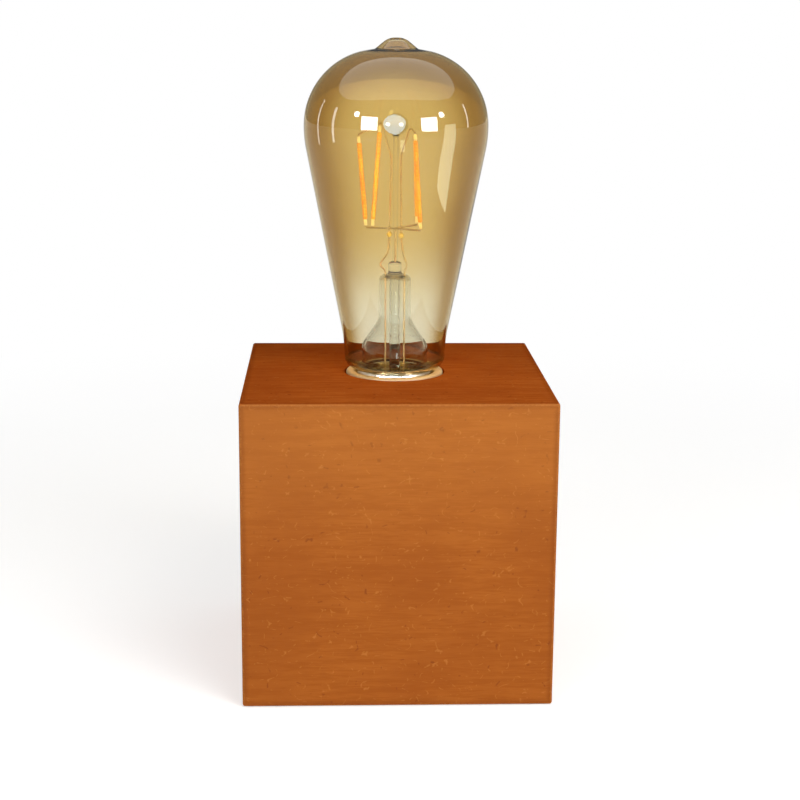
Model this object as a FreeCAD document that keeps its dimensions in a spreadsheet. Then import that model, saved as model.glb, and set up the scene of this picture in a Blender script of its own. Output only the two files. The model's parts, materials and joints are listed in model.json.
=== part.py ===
"""Bare bulb table lamp: a stained board cube with a screw-in filament bulb standing in its top.

Frame: millimetres, +Z up, origin at the middle of the underside. The face towards -Y is the
front. The bulb's own heights are measured from the upper edge of its screw cap, the seat.
"""
import FreeCAD, Part
import math
import os
import re

import Sketcher

document = FreeCAD.newDocument("bare_bulb_lamp")

# ---------------------------------------------------------------- driving dimensions

SIZES = (
    # the cube and the boards that it is glued up from
    ("cube_width", 105.0, "side to side"),
    ("cube_depth", 105.0, "front to back"),
    ("cube_height", 105.0, "underside to top face"),
    ("board_thickness", 12.0, "all five outer boards"),
    ("edge_bevel", 0.6, "eased outer edges"),
    ("cover_thickness", 6.0, "bottom board"),
    ("cover_clearance", 0.25, "bottom board to the walls, each side"),
    ("block_side", 14.0, "glue blocks in the corners"),
    ("block_length", 60.0, "glue blocks, above the bottom board"),
    ("block_chamfer", 4.0, "free edge of a glue block"),
    ("shank_clearance", 0.02, "round every screw, rivet and sealed-in wire"),
    # wood screws of the bottom board
    ("cover_screw_radius", 1.5, "shank"),
    ("cover_screw_length", 18.0, "overall"),
    ("cover_screw_head", 3.1, "head radius"),
    ("cover_screw_sink", 1.7, "height of the countersunk head"),
    # cable outlet in the back board
    ("outlet_height", 18.0, "axis above the underside"),
    ("outlet_radius", 5.0, "hole in the board"),
    ("bush_bore", 3.3, "bore radius, for a round mains cable"),
    ("bush_fit", 0.05, "bush in its hole, radial"),
    ("bush_flange_radius", 7.0, "outside flange"),
    ("bush_flange", 1.6, "thickness of the outside flange"),
    # lampholder
    ("holder_hole_radius", 17.8, "hole in the top board"),
    ("holder_radius", 17.1, "outside of the sleeve"),
    ("rim_proud", 0.6, "sleeve above the top face"),
    ("rim_bevel", 0.5, "outer edge of the rim"),
    ("rim_lead_in", 0.8, "inner edge of the rim"),
    ("sleeve_bore", 14.0, "round the screw shell"),
    ("sleeve_length", 44.0, "rim to lower edge"),
    ("socket_wall", 0.4, "sheet of the screw shell"),
    ("socket_length", 23.5, "screw shell"),
    ("shell_tab", 5.4, "tab at the shell's foot"),
    ("insert_radius", 14.35, "ceramic insert"),
    ("insert_thickness", 8.0, "ceramic insert"),
    ("insert_fit", 0.1, "insert in the sleeve's lower bore, radial"),
    ("spigot_length", 6.0, "holder cup inside the sleeve"),
    ("cup_depth", 12.0, "holder cup below the sleeve"),
    ("cup_wall", 2.4, "holder cup"),
    ("cup_foot_radius", 11.0, "flat foot of the cup"),
    ("cup_taper", 7.0, "height of the cone from the foot to the side"),
    ("cup_floor", 4.6, "threaded foot of the cup"),
    # parts on the insert
    ("recess_width", 7.4, "well below the contact tongue"),
    ("recess_depth", 1.6, "well below the contact tongue"),
    ("recess_room", 1.0, "well past the end of the tongue"),
    ("foot_length", 4.0, "fixed foot of the contact tongue"),
    ("tongue_width", 5.6, "contact tongue"),
    ("tongue_sheet", 0.5, "contact tongue"),
    ("tongue_pivot", 4.6, "bend line of the tongue, from the lamp's axis"),
    ("tongue_bend", 1.6, "where the tongue turns level, from the lamp's axis"),
    ("tongue_reach", 3.4, "end of the tongue past the lamp's axis"),
    ("tongue_gap", 0.3, "tongue to the foot and to the bulb's contact"),
    ("rivet_radius", 1.1, "shank of a contact rivet"),
    ("rivet_head", 1.6, "head radius"),
    ("rivet_head_height", 0.7, "head"),
    ("terminal_width", 6.0, "terminal block, along its screw row"),
    ("terminal_depth", 6.4, "terminal block, front to back"),
    ("terminal_height", 7.0, "terminal block"),
    ("terminal_setback", 2.6, "neutral terminal inside its rivet"),
    ("terminal_wire_radius", 1.5, "cross hole for the conductor"),
    ("terminal_screw_radius", 1.25, "thread of a terminal screw"),
    ("terminal_head_radius", 2.1, "head of a terminal screw"),
    ("terminal_head_height", 1.5, "head of a terminal screw"),
    ("terminal_screw_length", 4.5, "thread of a terminal screw"),
    # what hangs the lampholder from the top board
    ("strap_thickness", 1.5, "steel strap"),
    ("strap_width", 16.0, "steel strap"),
    ("strap_span", 42.0, "between the legs"),
    ("strap_flange", 12.0, "flange under the top board"),
    ("nipple_radius", 5.0, "hollow threaded tube"),
    ("nipple_bore", 3.6, "hollow threaded tube"),
    ("nipple_length", 19.0, "hollow threaded tube"),
    ("nipple_in_cup", 6.0, "length above the strap"),
    ("thread_fit", 0.05, "round the nipple, radial"),
    ("nut_across_flats", 14.0, "hexagon nut"),
    ("nut_height", 3.0, "hexagon nut"),
    ("washer_radius", 8.0, "washer"),
    ("washer_thickness", 0.8, "washer"),
    ("strap_screw_radius", 1.6, "shank"),
    ("strap_screw_length", 9.0, "below the head"),
    ("strap_screw_head", 3.3, "head radius"),
    ("strap_screw_head_height", 2.2, "rounded head"),
    # bulb: screw cap
    ("seat_height", 1.0, "cap's upper edge above the top face"),
    ("cap_radius", 13.2, "over the thread"),
    ("cap_sheet", 0.4, "sheet of the cap"),
    ("cap_length", 21.4, "cap, seat to the end of the thread"),
    ("cap_cone", 2.0, "turned-in end of the cap"),
    ("thread_clearance", 0.15, "cap in the screw shell, radial"),
    ("insulator_radius", 10.4, "black glass insulator"),
    ("insulator_fit", 0.1, "insulator in the cap's lip, radial"),
    ("insulator_rim", 1.8, "straight part of the insulator"),
    ("insulator_cone", 2.7, "conical part of the insulator"),
    ("insulator_tip", 5.4, "radius at the contact"),
    ("contact_radius", 4.8, "end contact"),
    ("contact_thickness", 0.8, "end contact without its crown"),
    ("contact_crown", 0.6, "crown of the end contact"),
    ("contact_flat", 3.0, "radius of the crown's flat middle"),
    # bulb: envelope
    ("bulb_radius", 31.75, "largest radius"),
    ("bulb_belly", 85.0, "height of the largest radius above the seat"),
    ("belly_arc", 42.0, "radius of the curve below the belly"),
    ("pip_root", 7.6, "radius where the sealed tip begins"),
    ("pip_height", 3.87, "sealed tip above its root"),
    ("bulb_height", 114.8, "tip above the seat"),
    ("glass_wall", 0.9, "envelope"),
    ("neck_radius", 17.7, "straight neck"),
    ("neck_top", 9.5, "where the neck turns into the cone"),
    ("neck_bevel", 3.4, "slope from the neck in to the cap, both ways"),
    ("neck_foot", 0.2, "underside of the neck above the seat"),
    ("neck_fit", 0.2, "neck inside the cap, radial"),
    ("neck_depth", 7.0, "glass inside the cap"),
    # bulb: stem
    ("stem_radius", 5.6, "stem tube"),
    ("stem_wall", 0.9, "stem tube"),
    ("stem_top", 33.5, "closed end of the stem tube"),
    ("flare_top", 17.5, "where the tube begins to flare"),
    ("flare_foot", 9.0, "where the flare meets the skirt in the neck"),
    ("press_radius", 2.3, "press on top of the stem tube"),
    ("press_height", 38.2, "top of the press above the seat"),
    ("press_bevel", 1.2, "slope round the top of the press, both ways"),
    ("exhaust_radius", 1.9, "tube inside the stem"),
    ("exhaust_wall", 0.6, "tube inside the stem"),
    ("exhaust_foot", 5.5, "tip of that tube below the seat"),
    ("glass_joint", 0.1, "between glass pieces that are fused together"),
    ("rod_radius", 0.9, "glass rod on the press"),
    ("button_radius", 4.2, "glass button on the rod"),
    ("button_thickness", 7.4, "glass button"),
    ("button_bevel", 2.2, "slope round its two edges, both ways"),
    ("button_height", 85.6, "middle of the button above the seat"),
    # bulb: wires and filaments
    ("wire_radius", 0.28, "nickel lead wires"),
    ("lead_rise", 1.6, "straight end of a lead above the stem"),
    ("lead_spacing", 3.3, "lead wires in the stem, from the axis"),
    ("bead_radius", 0.95, "glass bead on a lead wire"),
    ("bead_length", 1.9, "glass bead"),
    ("bead_rise", 0.4, "bead above the bend below it"),
    ("filament_radius", 0.8, "coated filament"),
    ("tab_length", 2.2, "metal tab at each end of a filament"),
    ("tab_width", 1.1, "metal tab"),
    ("tab_thickness", 0.35, "metal tab"),
    ("weld_gap", 0.4, "tab to the middle of its wire, beyond the wire's radius"),
    # driver in the cap
    ("driver_width", 15.0, "circuit board"),
    ("driver_height", 13.0, "circuit board"),
    ("driver_thickness", 1.0, "circuit board"),
    ("capacitor_radius", 2.8, "capacitor"),
    ("capacitor_length", 8.0, "capacitor"),
    ("rectifier_width", 5.0, "rectifier"),
    ("rectifier_height", 4.0, "rectifier"),
    ("rectifier_depth", 2.2, "rectifier"),
    ("driver_gap", 0.3, "board to the insulator below it"),
)

# Points of the filament cage: across, front to back, and height above the seat.
POINTS = (
    ("left_outer_foot", -10.2, -1.5, 50.3),
    ("left_inner_foot", -8.0, -1.5, 50.2),
    ("cross_middle", 0.0, -1.6, 50.0),
    ("right_front_foot", 8.8, -1.6, 49.2),
    ("right_back_foot", 7.7, 1.6, 50.9),
    ("left_outer_head", -13.0, -2.6, 82.2),
    ("left_inner_head", -5.4, 2.2, 85.6),
    ("right_front_head", 6.3, -3.6, 83.2),
    ("right_back_head", 6.9, 3.8, 81.6),
    ("left_knee", -5.6, 0.0, 37.0),
    ("left_waist", -2.4, 0.0, 41.2),
    ("left_bead", -2.1, 0.0, 46.4),
    ("left_fork", -1.45, 0.0, 74.2),
    ("left_crown", -5.1, 1.8, 86.4),
    ("right_knee", 4.4, 0.0, 36.4),
    ("right_waist", 3.0, 0.0, 40.0),
    ("right_bead", 2.1, 0.0, 45.8),
    ("right_fork", 1.7, 0.0, 74.8),
    ("right_crown", 4.7, -2.1, 84.6),
    ("anchor_foot", 0.0, -1.5, 38.15),
)

# Sizes and levels that follow from the ones above.
DERIVED = (
    ("inside_width", "cube_width - 2 * board_thickness"),
    ("inside_depth", "cube_depth - 2 * board_thickness"),
    ("ceiling", "cube_height - board_thickness"),
    ("rim_level", "cube_height + rim_proud"),
    ("sleeve_foot", "rim_level - sleeve_length"),
    ("insert_foot", "sleeve_foot + spigot_length"),
    ("insert_top", "insert_foot + insert_thickness"),
    ("lower_bore", "insert_radius + insert_fit"),
    ("cup_foot", "sleeve_foot - cup_depth"),
    ("strap_foot", "cup_foot - strap_thickness"),
    ("socket_bore", "cap_radius + thread_clearance"),
    ("live_offset", "tongue_pivot + tongue_gap + foot_length / 2"),
    ("shell_rivet_offset", "socket_bore - shell_tab / 2"),
    ("neutral_offset", "shell_rivet_offset - terminal_setback"),
    ("terminal_foot", "insert_foot - terminal_height"),
    ("cup_bore", "insert_radius - cup_wall"),
    ("nipple_hole", "nipple_radius + thread_fit"),
    ("nipple_top", "cup_foot + nipple_in_cup"),
    ("strap_side", "strap_span / 2 + strap_thickness"),
    ("strap_end", "strap_side + strap_flange"),
    ("strap_screw_offset", "strap_side + strap_flange / 2"),
    ("strap_screw_seat", "ceiling - strap_thickness"),
    ("cover_screw_across", "(inside_width - block_side) / 2"),
    ("cover_screw_back", "(inside_depth - block_side) / 2"),
    ("seat", "cube_height + seat_height"),
    ("cap_foot", "seat - cap_length"),
    ("cap_lip", "cap_foot - cap_cone"),
    ("cap_bore", "cap_radius - cap_sheet"),
    ("insulator_top", "cap_lip + insulator_rim"),
    ("insulator_end", "cap_lip - insulator_cone"),
    ("contact_face", "insulator_end - contact_thickness"),
    ("contact_end", "contact_face - contact_crown"),
    ("tongue_top", "contact_end - tongue_gap"),
    ("neck_bore", "cap_bore - neck_fit"),
    ("belly_centre", "bulb_radius - belly_arc"),
    ("belly_level", "seat + bulb_belly"),
    ("tip_level", "seat + bulb_height"),
    ("pip_foot", "tip_level - pip_height"),
    ("pip_arc", "(pip_root * pip_root + pip_height * pip_height) / (2 * pip_height)"),
    ("shoulder_run", "bulb_radius - pip_root"),
    ("shoulder_rise", "pip_foot - belly_level"),
    ("shoulder_arc", "(shoulder_run * shoulder_run + shoulder_rise * shoulder_rise)"
                     " / (2 * shoulder_run)"),
    ("shoulder_centre", "bulb_radius - shoulder_arc"),
    ("dome_level", "belly_level + sqrt((shoulder_arc - glass_wall) * (shoulder_arc - glass_wall)"
                   " - (pip_root - shoulder_centre) * (pip_root - shoulder_centre))"),
    ("neck_level", "seat + neck_top"),
    ("cone_run", "neck_radius - belly_centre"),
    ("cone_rise", "bulb_belly - neck_top"),
    ("cone_length", "sqrt(cone_run * cone_run + cone_rise * cone_rise - belly_arc * belly_arc)"),
    ("cone_square", "cone_run * cone_run + cone_rise * cone_rise"),
    ("cone_sine", "(cone_rise * belly_arc - cone_run * cone_length) / cone_square"),
    ("cone_cosine", "(cone_run * belly_arc + cone_rise * cone_length) / cone_square"),
    ("cone_top_radius", "belly_centre + belly_arc * cone_cosine"),
    ("cone_top", "belly_level - belly_arc * cone_sine"),
    ("neck_base", "seat + neck_foot"),
    ("bevel_shift", "glass_wall * (sqrt(2) - 1)"),
    ("neck_end", "seat - neck_depth"),
    ("skirt_radius", "neck_bore - glass_wall - glass_joint"),
    ("flare_start", "seat + flare_foot"),
    ("flare_end", "seat + flare_top"),
    ("stem_end", "seat + stem_top"),
    ("press_end", "seat + press_height"),
    ("button_foot", "seat + button_height - button_thickness / 2"),
    ("button_top", "button_foot + button_thickness"),
    ("driver_foot", "insulator_top + driver_gap"),
    ("driver_top", "driver_foot + driver_height"),
)

ACROSS = FreeCAD.Vector(1, 0, 0)
UP = FreeCAD.Vector(0, 0, 1)
LYING_BACK = FreeCAD.Rotation(ACROSS, -90)  # lays a primitive's own axis along +Y
LEFT_TURN, RIGHT_TURN = 1, -1  # which way an outline's arc curves
SHARP_CORNERS = 1  # a swept wire meets itself in a mitre at each bend
FOUR_CORNERS = (
    ("front_left", -1, -1), ("front_right", 1, -1), ("back_left", -1, 1), ("back_right", 1, 1))
RIVETS = (("live_rivet", "-live_offset"), ("shell_rivet", "shell_rivet_offset"))
LEAD_WIRES = (
    ("left", -1, ("knee", "waist", "bead", "fork", "crown", "inner_head", "outer_head")),
    ("right", 1, ("knee", "waist", "bead", "fork", "crown", "front_head", "back_head")))

sizes = document.addObject("Spreadsheet::Sheet", "sizes")
pieces = {}


def write_sheet():
    """Put every driving size, point and derived value in the sheet, each under its own alias."""
    rows = [(name, str(number), note) for name, number, note in SIZES]
    for name, across, back, up in POINTS:
        for letter, number in (("x", across), ("y", back), ("z", up)):
            rows.append((f"{name}_{letter}", str(number), "filament cage"))
    rows += [(name, "=" + formula, "follows") for name, formula in DERIVED]
    for row, (name, content, note) in enumerate(rows, start=1):
        sizes.set(f"A{row}", name)
        sizes.set(f"B{row}", content)
        sizes.set(f"C{row}", note)
        sizes.setAlias(f"B{row}", name)
    document.recompute()


# ---------------------------------------------------------------- helpers


def worth(formula):
    """The number that an expression on the sheet's names gives."""
    return float(sizes.evalExpression(formula))


NAMES = {row[0] for row in SIZES + DERIVED} | {row[0] + "_" + axis for row in POINTS for axis in "xyz"}


def linked(formula):
    """The same expression as another object of the document writes it."""
    return re.sub(
        "[a-z_]+", lambda word: ("sizes." if word[0] in NAMES else "") + word[0], str(formula))


def bind(thing, **formulas):
    """Bind properties to expressions; x, y and z are the parts of its place."""
    for name, formula in formulas.items():
        path = f"Placement.Base.{name}" if name in ("x", "y", "z") else name
        thing.setExpression(path, linked(formula))
    return thing


def primitive(kind, name, turn=None, **formulas):
    """A Part primitive with bound sizes and place, turned first if a rotation is given."""
    thing = document.addObject("Part::" + kind, name)
    if turn:
        thing.Placement.Rotation = turn
    return bind(thing, **formulas)


def joined(kind, name, *things):
    """A boolean of several objects: the first less the rest for Cut, otherwise all of them."""
    if kind == "Cut":
        thing = document.addObject("Part::Cut", name)
        thing.Base = things[0]
        thing.Tool = things[1] if len(things) == 2 else joined("MultiFuse", name + "_tools", *things[1:])
        return thing
    thing = document.addObject("Part::" + kind, name)
    thing.Shapes = list(things)
    return thing


def grouped(name, things):
    """Several separate solids as one piece of the lamp."""
    thing = document.addObject("Part::Compound", name)
    thing.Links = things
    return thing


def body_with_sketch(name, role):
    """A body for one turned or padded piece, and a sketch on one of its own origin planes."""
    body = document.addObject("PartDesign::Body", name)
    sketch = body.newObject("Sketcher::SketchObject", name + "_outline")
    flat = [feature for feature in body.Origin.OriginFeatures if feature.Role == role][0]
    sketch.AttachmentSupport = [(flat, "")]
    sketch.MapMode = "FlatFace"
    return body, sketch


def padded(body, sketch, length, both_ways=False):
    """Pad a sketch to a bound length, to one side or half to each."""
    pad = body.newObject("PartDesign::Pad", body.Name + "_pad")
    pad.Profile = sketch
    pad.SideType = "Symmetric" if both_ways else "One side"
    bind(pad, Length=length)


def hold(sketch, kind, where, formula):
    """Add a dimension to a sketch and bind it to the sheet."""
    number = sketch.addConstraint(Sketcher.Constraint(kind, *where, worth(formula)))
    sketch.setExpression(f"Constraints[{number}]", linked(formula))


def arc_between(start, end, radius, anticlockwise):
    """The shorter arc of that radius from start to end; a sketch stores it anticlockwise."""
    first, last = (start, end) if anticlockwise else (end, start)
    chord = last - first
    reach = math.sqrt(max(radius * radius - chord.Length * chord.Length / 4, 0))
    left = FreeCAD.Vector(-chord.y, chord.x, 0).normalize()
    centre = (first + last) * 0.5 + left * reach
    angles = [math.atan2(point.y - centre.y, point.x - centre.x) for point in (first, last)]
    return Part.ArcOfCircle(Part.Circle(centre, FreeCAD.Vector(0, 0, 1), radius), *angles)


def outline(sketch, corners):
    """Draw a closed outline through (across, up) corners and bind it.

    A corner with two more entries, a radius and LEFT_TURN or RIGHT_TURN, starts an arc.
    """
    points = [FreeCAD.Vector(worth(corner[0]), worth(corner[1]), 0) for corner in corners]
    ends = []
    for number, corner in enumerate(corners):
        start, end = points[number], points[(number + 1) % len(points)]
        if len(corner) == 2:
            sketch.addGeometry(Part.LineSegment(start, end), False)
            ends.append((1, 2))
            continue
        left_turn = corner[3] == LEFT_TURN
        sketch.addGeometry(arc_between(start, end, worth(corner[2]), left_turn), False)
        ends.append((1, 2) if left_turn else (2, 1))
    for number in range(len(corners)):
        after = (number + 1) % len(corners)
        sketch.addConstraint(
            Sketcher.Constraint("Coincident", number, ends[number][1], after, ends[after][0]))
    for number, corner in enumerate(corners):
        vertex = (number, ends[number][0])
        for axis, (kind, formula) in ((-2, ("DistanceX", corner[0])), (-1, ("DistanceY", corner[1]))):
            if formula == "0":
                sketch.addConstraint(Sketcher.Constraint("PointOnObject", *vertex, axis))
            else:
                hold(sketch, kind, vertex, formula)
        if len(corner) == 4:
            hold(sketch, "Radius", (number,), corner[2])


def turned(name, corners):
    """A piece turned about the lamp's axis from an outline of (radius, height) corners."""
    body, sketch = body_with_sketch(name, "XZ_Plane")
    outline(sketch, corners)
    turn = body.newObject("PartDesign::Revolution", name + "_turned")
    turn.Profile = sketch
    turn.ReferenceAxis = (sketch, ["V_Axis"])
    turn.Angle = 360
    return body


def point(name):
    """One of the cage's points, in the lamp's frame."""
    return FreeCAD.Vector(
        worth(name + "_x"), worth(name + "_y"), worth("seat + " + name + "_z"))


def round_wire(points):
    """A round wire bent sharply at the points between its ends."""
    path = Part.makePolygon(points)
    section = Part.Wire(Part.Circle(points[0], points[1] - points[0], worth("wire_radius")).toShape())
    return path.makePipeShell([section], True, False, SHARP_CORNERS)


def shaped(name, shape):
    """A piece whose shape is worked out from the sheet above."""
    thing = document.addObject("Part::Feature", name)
    thing.Shape = shape
    return thing


def keep(thing, name):
    """Enter an object as one of the lamp's pieces, under the name of its file."""
    thing.Label = name
    pieces[name] = thing


# ---------------------------------------------------------------- the cube


def eased_cube():
    """The cube's outer form, all its edges eased."""
    block = primitive("Box", "cube_blank", Length="cube_width", Width="cube_depth", Height="cube_height",
                      x="-cube_width / 2", y="-cube_depth / 2")
    document.recompute()
    form = document.addObject("Part::Chamfer", "cube_form")
    form.Base = block
    bevel = worth("edge_bevel")
    form.Edges = [(number, bevel, bevel) for number in range(1, len(block.Shape.Edges) + 1)]
    return form


def mitred(name, form, turn, width, inside, rise, inside_rise, **place):
    """One board of the cube: a wedge with mitred edges, cut to the eased outer form.

    The wedge's own Y runs through the board, from its outer face to its inner one.
    """
    blank = primitive(
        "Wedge", name + "_blank", turn, **place,
        Xmin=f"-{width} / 2", Xmax=f"{width} / 2", X2min=f"-{inside} / 2", X2max=f"{inside} / 2",
        Ymin="0", Ymax="board_thickness",
        Zmin=rise[0], Zmax=rise[1], Z2min=inside_rise[0], Z2max=inside_rise[1])
    return joined("MultiCommon", name, form, blank)


def walls(form):
    """Four walls, mitred to each other and to the top board, with square lower edges."""
    for name, angle, width, inside, place in (
        ("front_board", 0, "cube_width", "inside_width", {"y": "-cube_depth / 2"}),
        ("right_board", 90, "cube_depth", "inside_depth", {"x": "cube_width / 2"}),
        ("left_board", 270, "cube_depth", "inside_depth", {"x": "-cube_width / 2"}),
        ("undrilled_back", 180, "cube_width", "inside_width", {"y": "cube_depth / 2"}),
    ):
        board = mitred(name, form, FreeCAD.Rotation(UP, angle), width, inside,
                       ("0", "cube_height"), ("0", "ceiling"), **place)
        if name != "undrilled_back":
            keep(board, name)
    drill = primitive("Cylinder", "outlet_drill", LYING_BACK, Radius="outlet_radius",
                      Height="2 * board_thickness", y="(inside_depth - board_thickness) / 2",
                      z="outlet_height")
    sinking = primitive("Cylinder", "outlet_sinking", LYING_BACK, Height="board_thickness",
                        Radius="bush_flange_radius + bush_fit", y="cube_depth / 2 - bush_flange",
                        z="outlet_height")
    keep(joined("Cut", "back_board", board, drill, sinking), "back_board")


def top_board(form):
    """Top board, mitred all round, with the hole that the lampholder stands in."""
    board = mitred(
        "undrilled_top", form, FreeCAD.Rotation(ACROSS, -90), "cube_width", "inside_width",
        ("-cube_depth / 2", "cube_depth / 2"), ("-inside_depth / 2", "inside_depth / 2"),
        z="cube_height")
    hole = primitive("Cylinder", "holder_hole", Radius="holder_hole_radius",
                     Height="2 * board_thickness", z="ceiling - board_thickness / 2")
    pilots = strap_screw_pair("strap_pilot", "strap_screw_radius + shank_clearance",
                              "strap_screw_length + shank_clearance")
    keep(joined("Cut", "top_board", board, hole, *pilots), "top_board")


def corner_blocks():
    """Glue blocks in the four corners, with one free edge planed off."""
    for ending, right, back in FOUR_CORNERS:
        name = "corner_block_" + ending
        body, sketch = body_with_sketch("undrilled_" + ending, "XY_Plane")
        wall_x, wall_y = f"{right} * inside_width / 2", f"{back} * inside_depth / 2"
        free_x, free_y = f"{wall_x} - {right} * block_side", f"{wall_y} - {back} * block_side"
        outline(sketch, (
            (wall_x, wall_y), (free_x, wall_y), (free_x, f"{free_y} + {back} * block_chamfer"),
            (f"{free_x} + {right} * block_chamfer", free_y), (wall_x, free_y)))
        padded(body, sketch, "block_length")
        bind(body, z="cover_thickness")
        keep(joined("Cut", name, body, cover_screw_shank(name, right, back, "shank_clearance")), name)


def cover_screw_shank(name, right, back, room):
    """The shank of a bottom screw, with room round it."""
    return primitive("Cylinder", name + "_shank", Radius=f"cover_screw_radius + {room}",
                     Height=f"cover_screw_length + {room}", x=f"{right} * cover_screw_across",
                     y=f"{back} * cover_screw_back")


def cover_screw_head(name, right, back, room):
    """The countersunk head of a bottom screw, with room round it."""
    return primitive("Cone", name + "_head", Radius1=f"cover_screw_head + {room}",
                     Radius2=f"cover_screw_radius + {room}", Height="cover_screw_sink",
                     x=f"{right} * cover_screw_across", y=f"{back} * cover_screw_back")


def bottom_cover():
    """Bottom board between the walls, flush with their lower edges, and its four screws."""
    board = primitive("Box", "undrilled_cover", Height="cover_thickness",
                      Length="inside_width - 2 * cover_clearance",
                      Width="inside_depth - 2 * cover_clearance",
                      x="cover_clearance - inside_width / 2", y="cover_clearance - inside_depth / 2")
    holes, screws = [], []
    for ending, right, back in FOUR_CORNERS:
        hole, screw = "cover_hole_" + ending, "cover_screw_" + ending
        holes += [cover_screw_shank(hole, right, back, "shank_clearance"),
                  cover_screw_head(hole, right, back, "shank_clearance")]
        screws.append(joined("MultiFuse", screw, cover_screw_shank(screw, right, back, "0"),
                             cover_screw_head(screw, right, back, "0")))
    keep(joined("Cut", "bottom_cover", board, *holes), "bottom_cover")
    keep(grouped("cover_screws", screws), "cover_screws")


def cable_bush():
    """Rubber bush of the cable outlet, its flange let in flush with the back."""
    flange = primitive("Cylinder", "bush_flange_disc", LYING_BACK, Radius="bush_flange_radius",
                       Height="bush_flange", y="cube_depth / 2 - bush_flange", z="outlet_height")
    sleeve = primitive("Cylinder", "bush_sleeve", LYING_BACK, Radius="outlet_radius - bush_fit",
                       Height="board_thickness", y="inside_depth / 2", z="outlet_height")
    bore = primitive("Cylinder", "bush_bore_drill", LYING_BACK, Radius="bush_bore",
                     Height="2 * board_thickness", y="(inside_depth - board_thickness) / 2",
                     z="outlet_height")
    solid = joined("MultiFuse", "undrilled_bush", flange, sleeve)
    keep(joined("Cut", "cable_bush", solid, bore), "cable_bush")


# ---------------------------------------------------------------- the lampholder


def holder_sleeve():
    """Smooth sleeve whose rim shows in the top board's hole; a ledge holds the insert down."""
    keep(turned("holder_sleeve", (
        ("lower_bore", "sleeve_foot"), ("holder_radius", "sleeve_foot"),
        ("holder_radius", "rim_level - rim_bevel"), ("holder_radius - rim_bevel", "rim_level"),
        ("sleeve_bore + rim_lead_in", "rim_level"),
        ("sleeve_bore", "rim_level - rim_lead_in"), ("sleeve_bore", "insert_top"),
        ("lower_bore", "insert_top"))), "holder_sleeve")


def holder_cup():
    """Cup that closes the holder from below, with a threaded foot for the nipple."""
    keep(turned("holder_cup", (
        ("nipple_hole", "cup_foot"), ("cup_foot_radius", "cup_foot"),
        ("holder_radius", "cup_foot + cup_taper"), ("holder_radius", "sleeve_foot"),
        ("insert_radius", "sleeve_foot"), ("insert_radius", "insert_foot"),
        ("cup_bore", "insert_foot"), ("cup_bore", "cup_foot + cup_floor"),
        ("nipple_hole", "cup_foot + cup_floor"))), "holder_cup")


def insert():
    """Ceramic insert between cup and sleeve, with a well below the contact tongue."""
    disc = primitive("Cylinder", "insert_disc", Radius="insert_radius", Height="insert_thickness",
                     z="insert_foot")
    well = primitive("Box", "insert_well", Length="tongue_pivot + tongue_gap / 2 + tongue_reach"
                     " + recess_room", Width="recess_width", Height="2 * recess_depth",
                     x="-tongue_pivot - tongue_gap / 2", y="-recess_width / 2",
                     z="insert_top - recess_depth")
    holes = [rivet_hole(f"insert_{name}", place) for name, place in RIVETS]
    keep(joined("Cut", "contact_insert", disc, well, *holes), "contact_insert")


def rivet_hole(name, place):
    """The hole of a contact rivet, through the insert and the sheet that lies on it."""
    return primitive("Cylinder", name + "_hole", Radius="rivet_radius + shank_clearance",
                     Height="insert_thickness + 2 * tongue_sheet", x=place, z="insert_foot")


def screw_shell():
    """Screw shell that the bulb's cap turns in, with a tab for its rivet."""
    tube = turned("shell_tube", (
        ("socket_bore", "insert_top"), ("socket_bore + socket_wall", "insert_top"),
        ("socket_bore + socket_wall", "insert_top + socket_length"),
        ("socket_bore", "insert_top + socket_length")))
    tab = primitive("Box", "shell_tab_strip", Length="shell_tab + socket_wall / 2",
                    Width="tongue_width", Height="socket_wall", x="socket_bore - shell_tab",
                    y="-tongue_width / 2", z="insert_top")
    whole = joined("MultiFuse", "undrilled_shell", tube, tab)
    keep(joined("Cut", "screw_shell", whole,
                rivet_hole("shell_tab", "shell_rivet_offset")), "screw_shell")


def contact_tongue():
    """End contact of the holder: a riveted foot, and the sprung tongue that rises from it."""
    foot = primitive("Box", "undrilled_foot", Length="foot_length", Width="tongue_width",
                     Height="tongue_sheet", x="-tongue_pivot - tongue_gap - foot_length",
                     y="-tongue_width / 2", z="insert_top")
    keep(joined("Cut", "contact_foot", foot,
                rivet_hole("foot", "-live_offset")), "contact_foot")
    body, sketch = body_with_sketch("contact_tongue", "XZ_Plane")
    outline(sketch, (
        ("-tongue_pivot", "insert_top"), ("-tongue_bend", "tongue_top - tongue_sheet"),
        ("tongue_reach", "tongue_top - tongue_sheet"), ("tongue_reach", "tongue_top"),
        ("-tongue_bend", "tongue_top"), ("-tongue_pivot", "insert_top + tongue_sheet")))
    padded(body, sketch, "tongue_width", both_ways=True)
    keep(body, "contact_tongue")


def rivets():
    """One rivet through the tongue's foot and one through the shell's tab."""
    whole = []
    for (name, place), sheet in zip(RIVETS, ("tongue_sheet", "socket_wall")):
        head = primitive("Cylinder", name + "_head", Radius="rivet_head", x=place,
                         Height="rivet_head_height", z=f"insert_top + {sheet}")
        shank = primitive("Cylinder", name + "_shank", Radius="rivet_radius", x=place,
                          Height=f"insert_thickness + {sheet}", z="insert_foot")
        whole.append(joined("MultiFuse", name, head, shank))
    keep(grouped("contact_rivets", whole), "contact_rivets")


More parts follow.
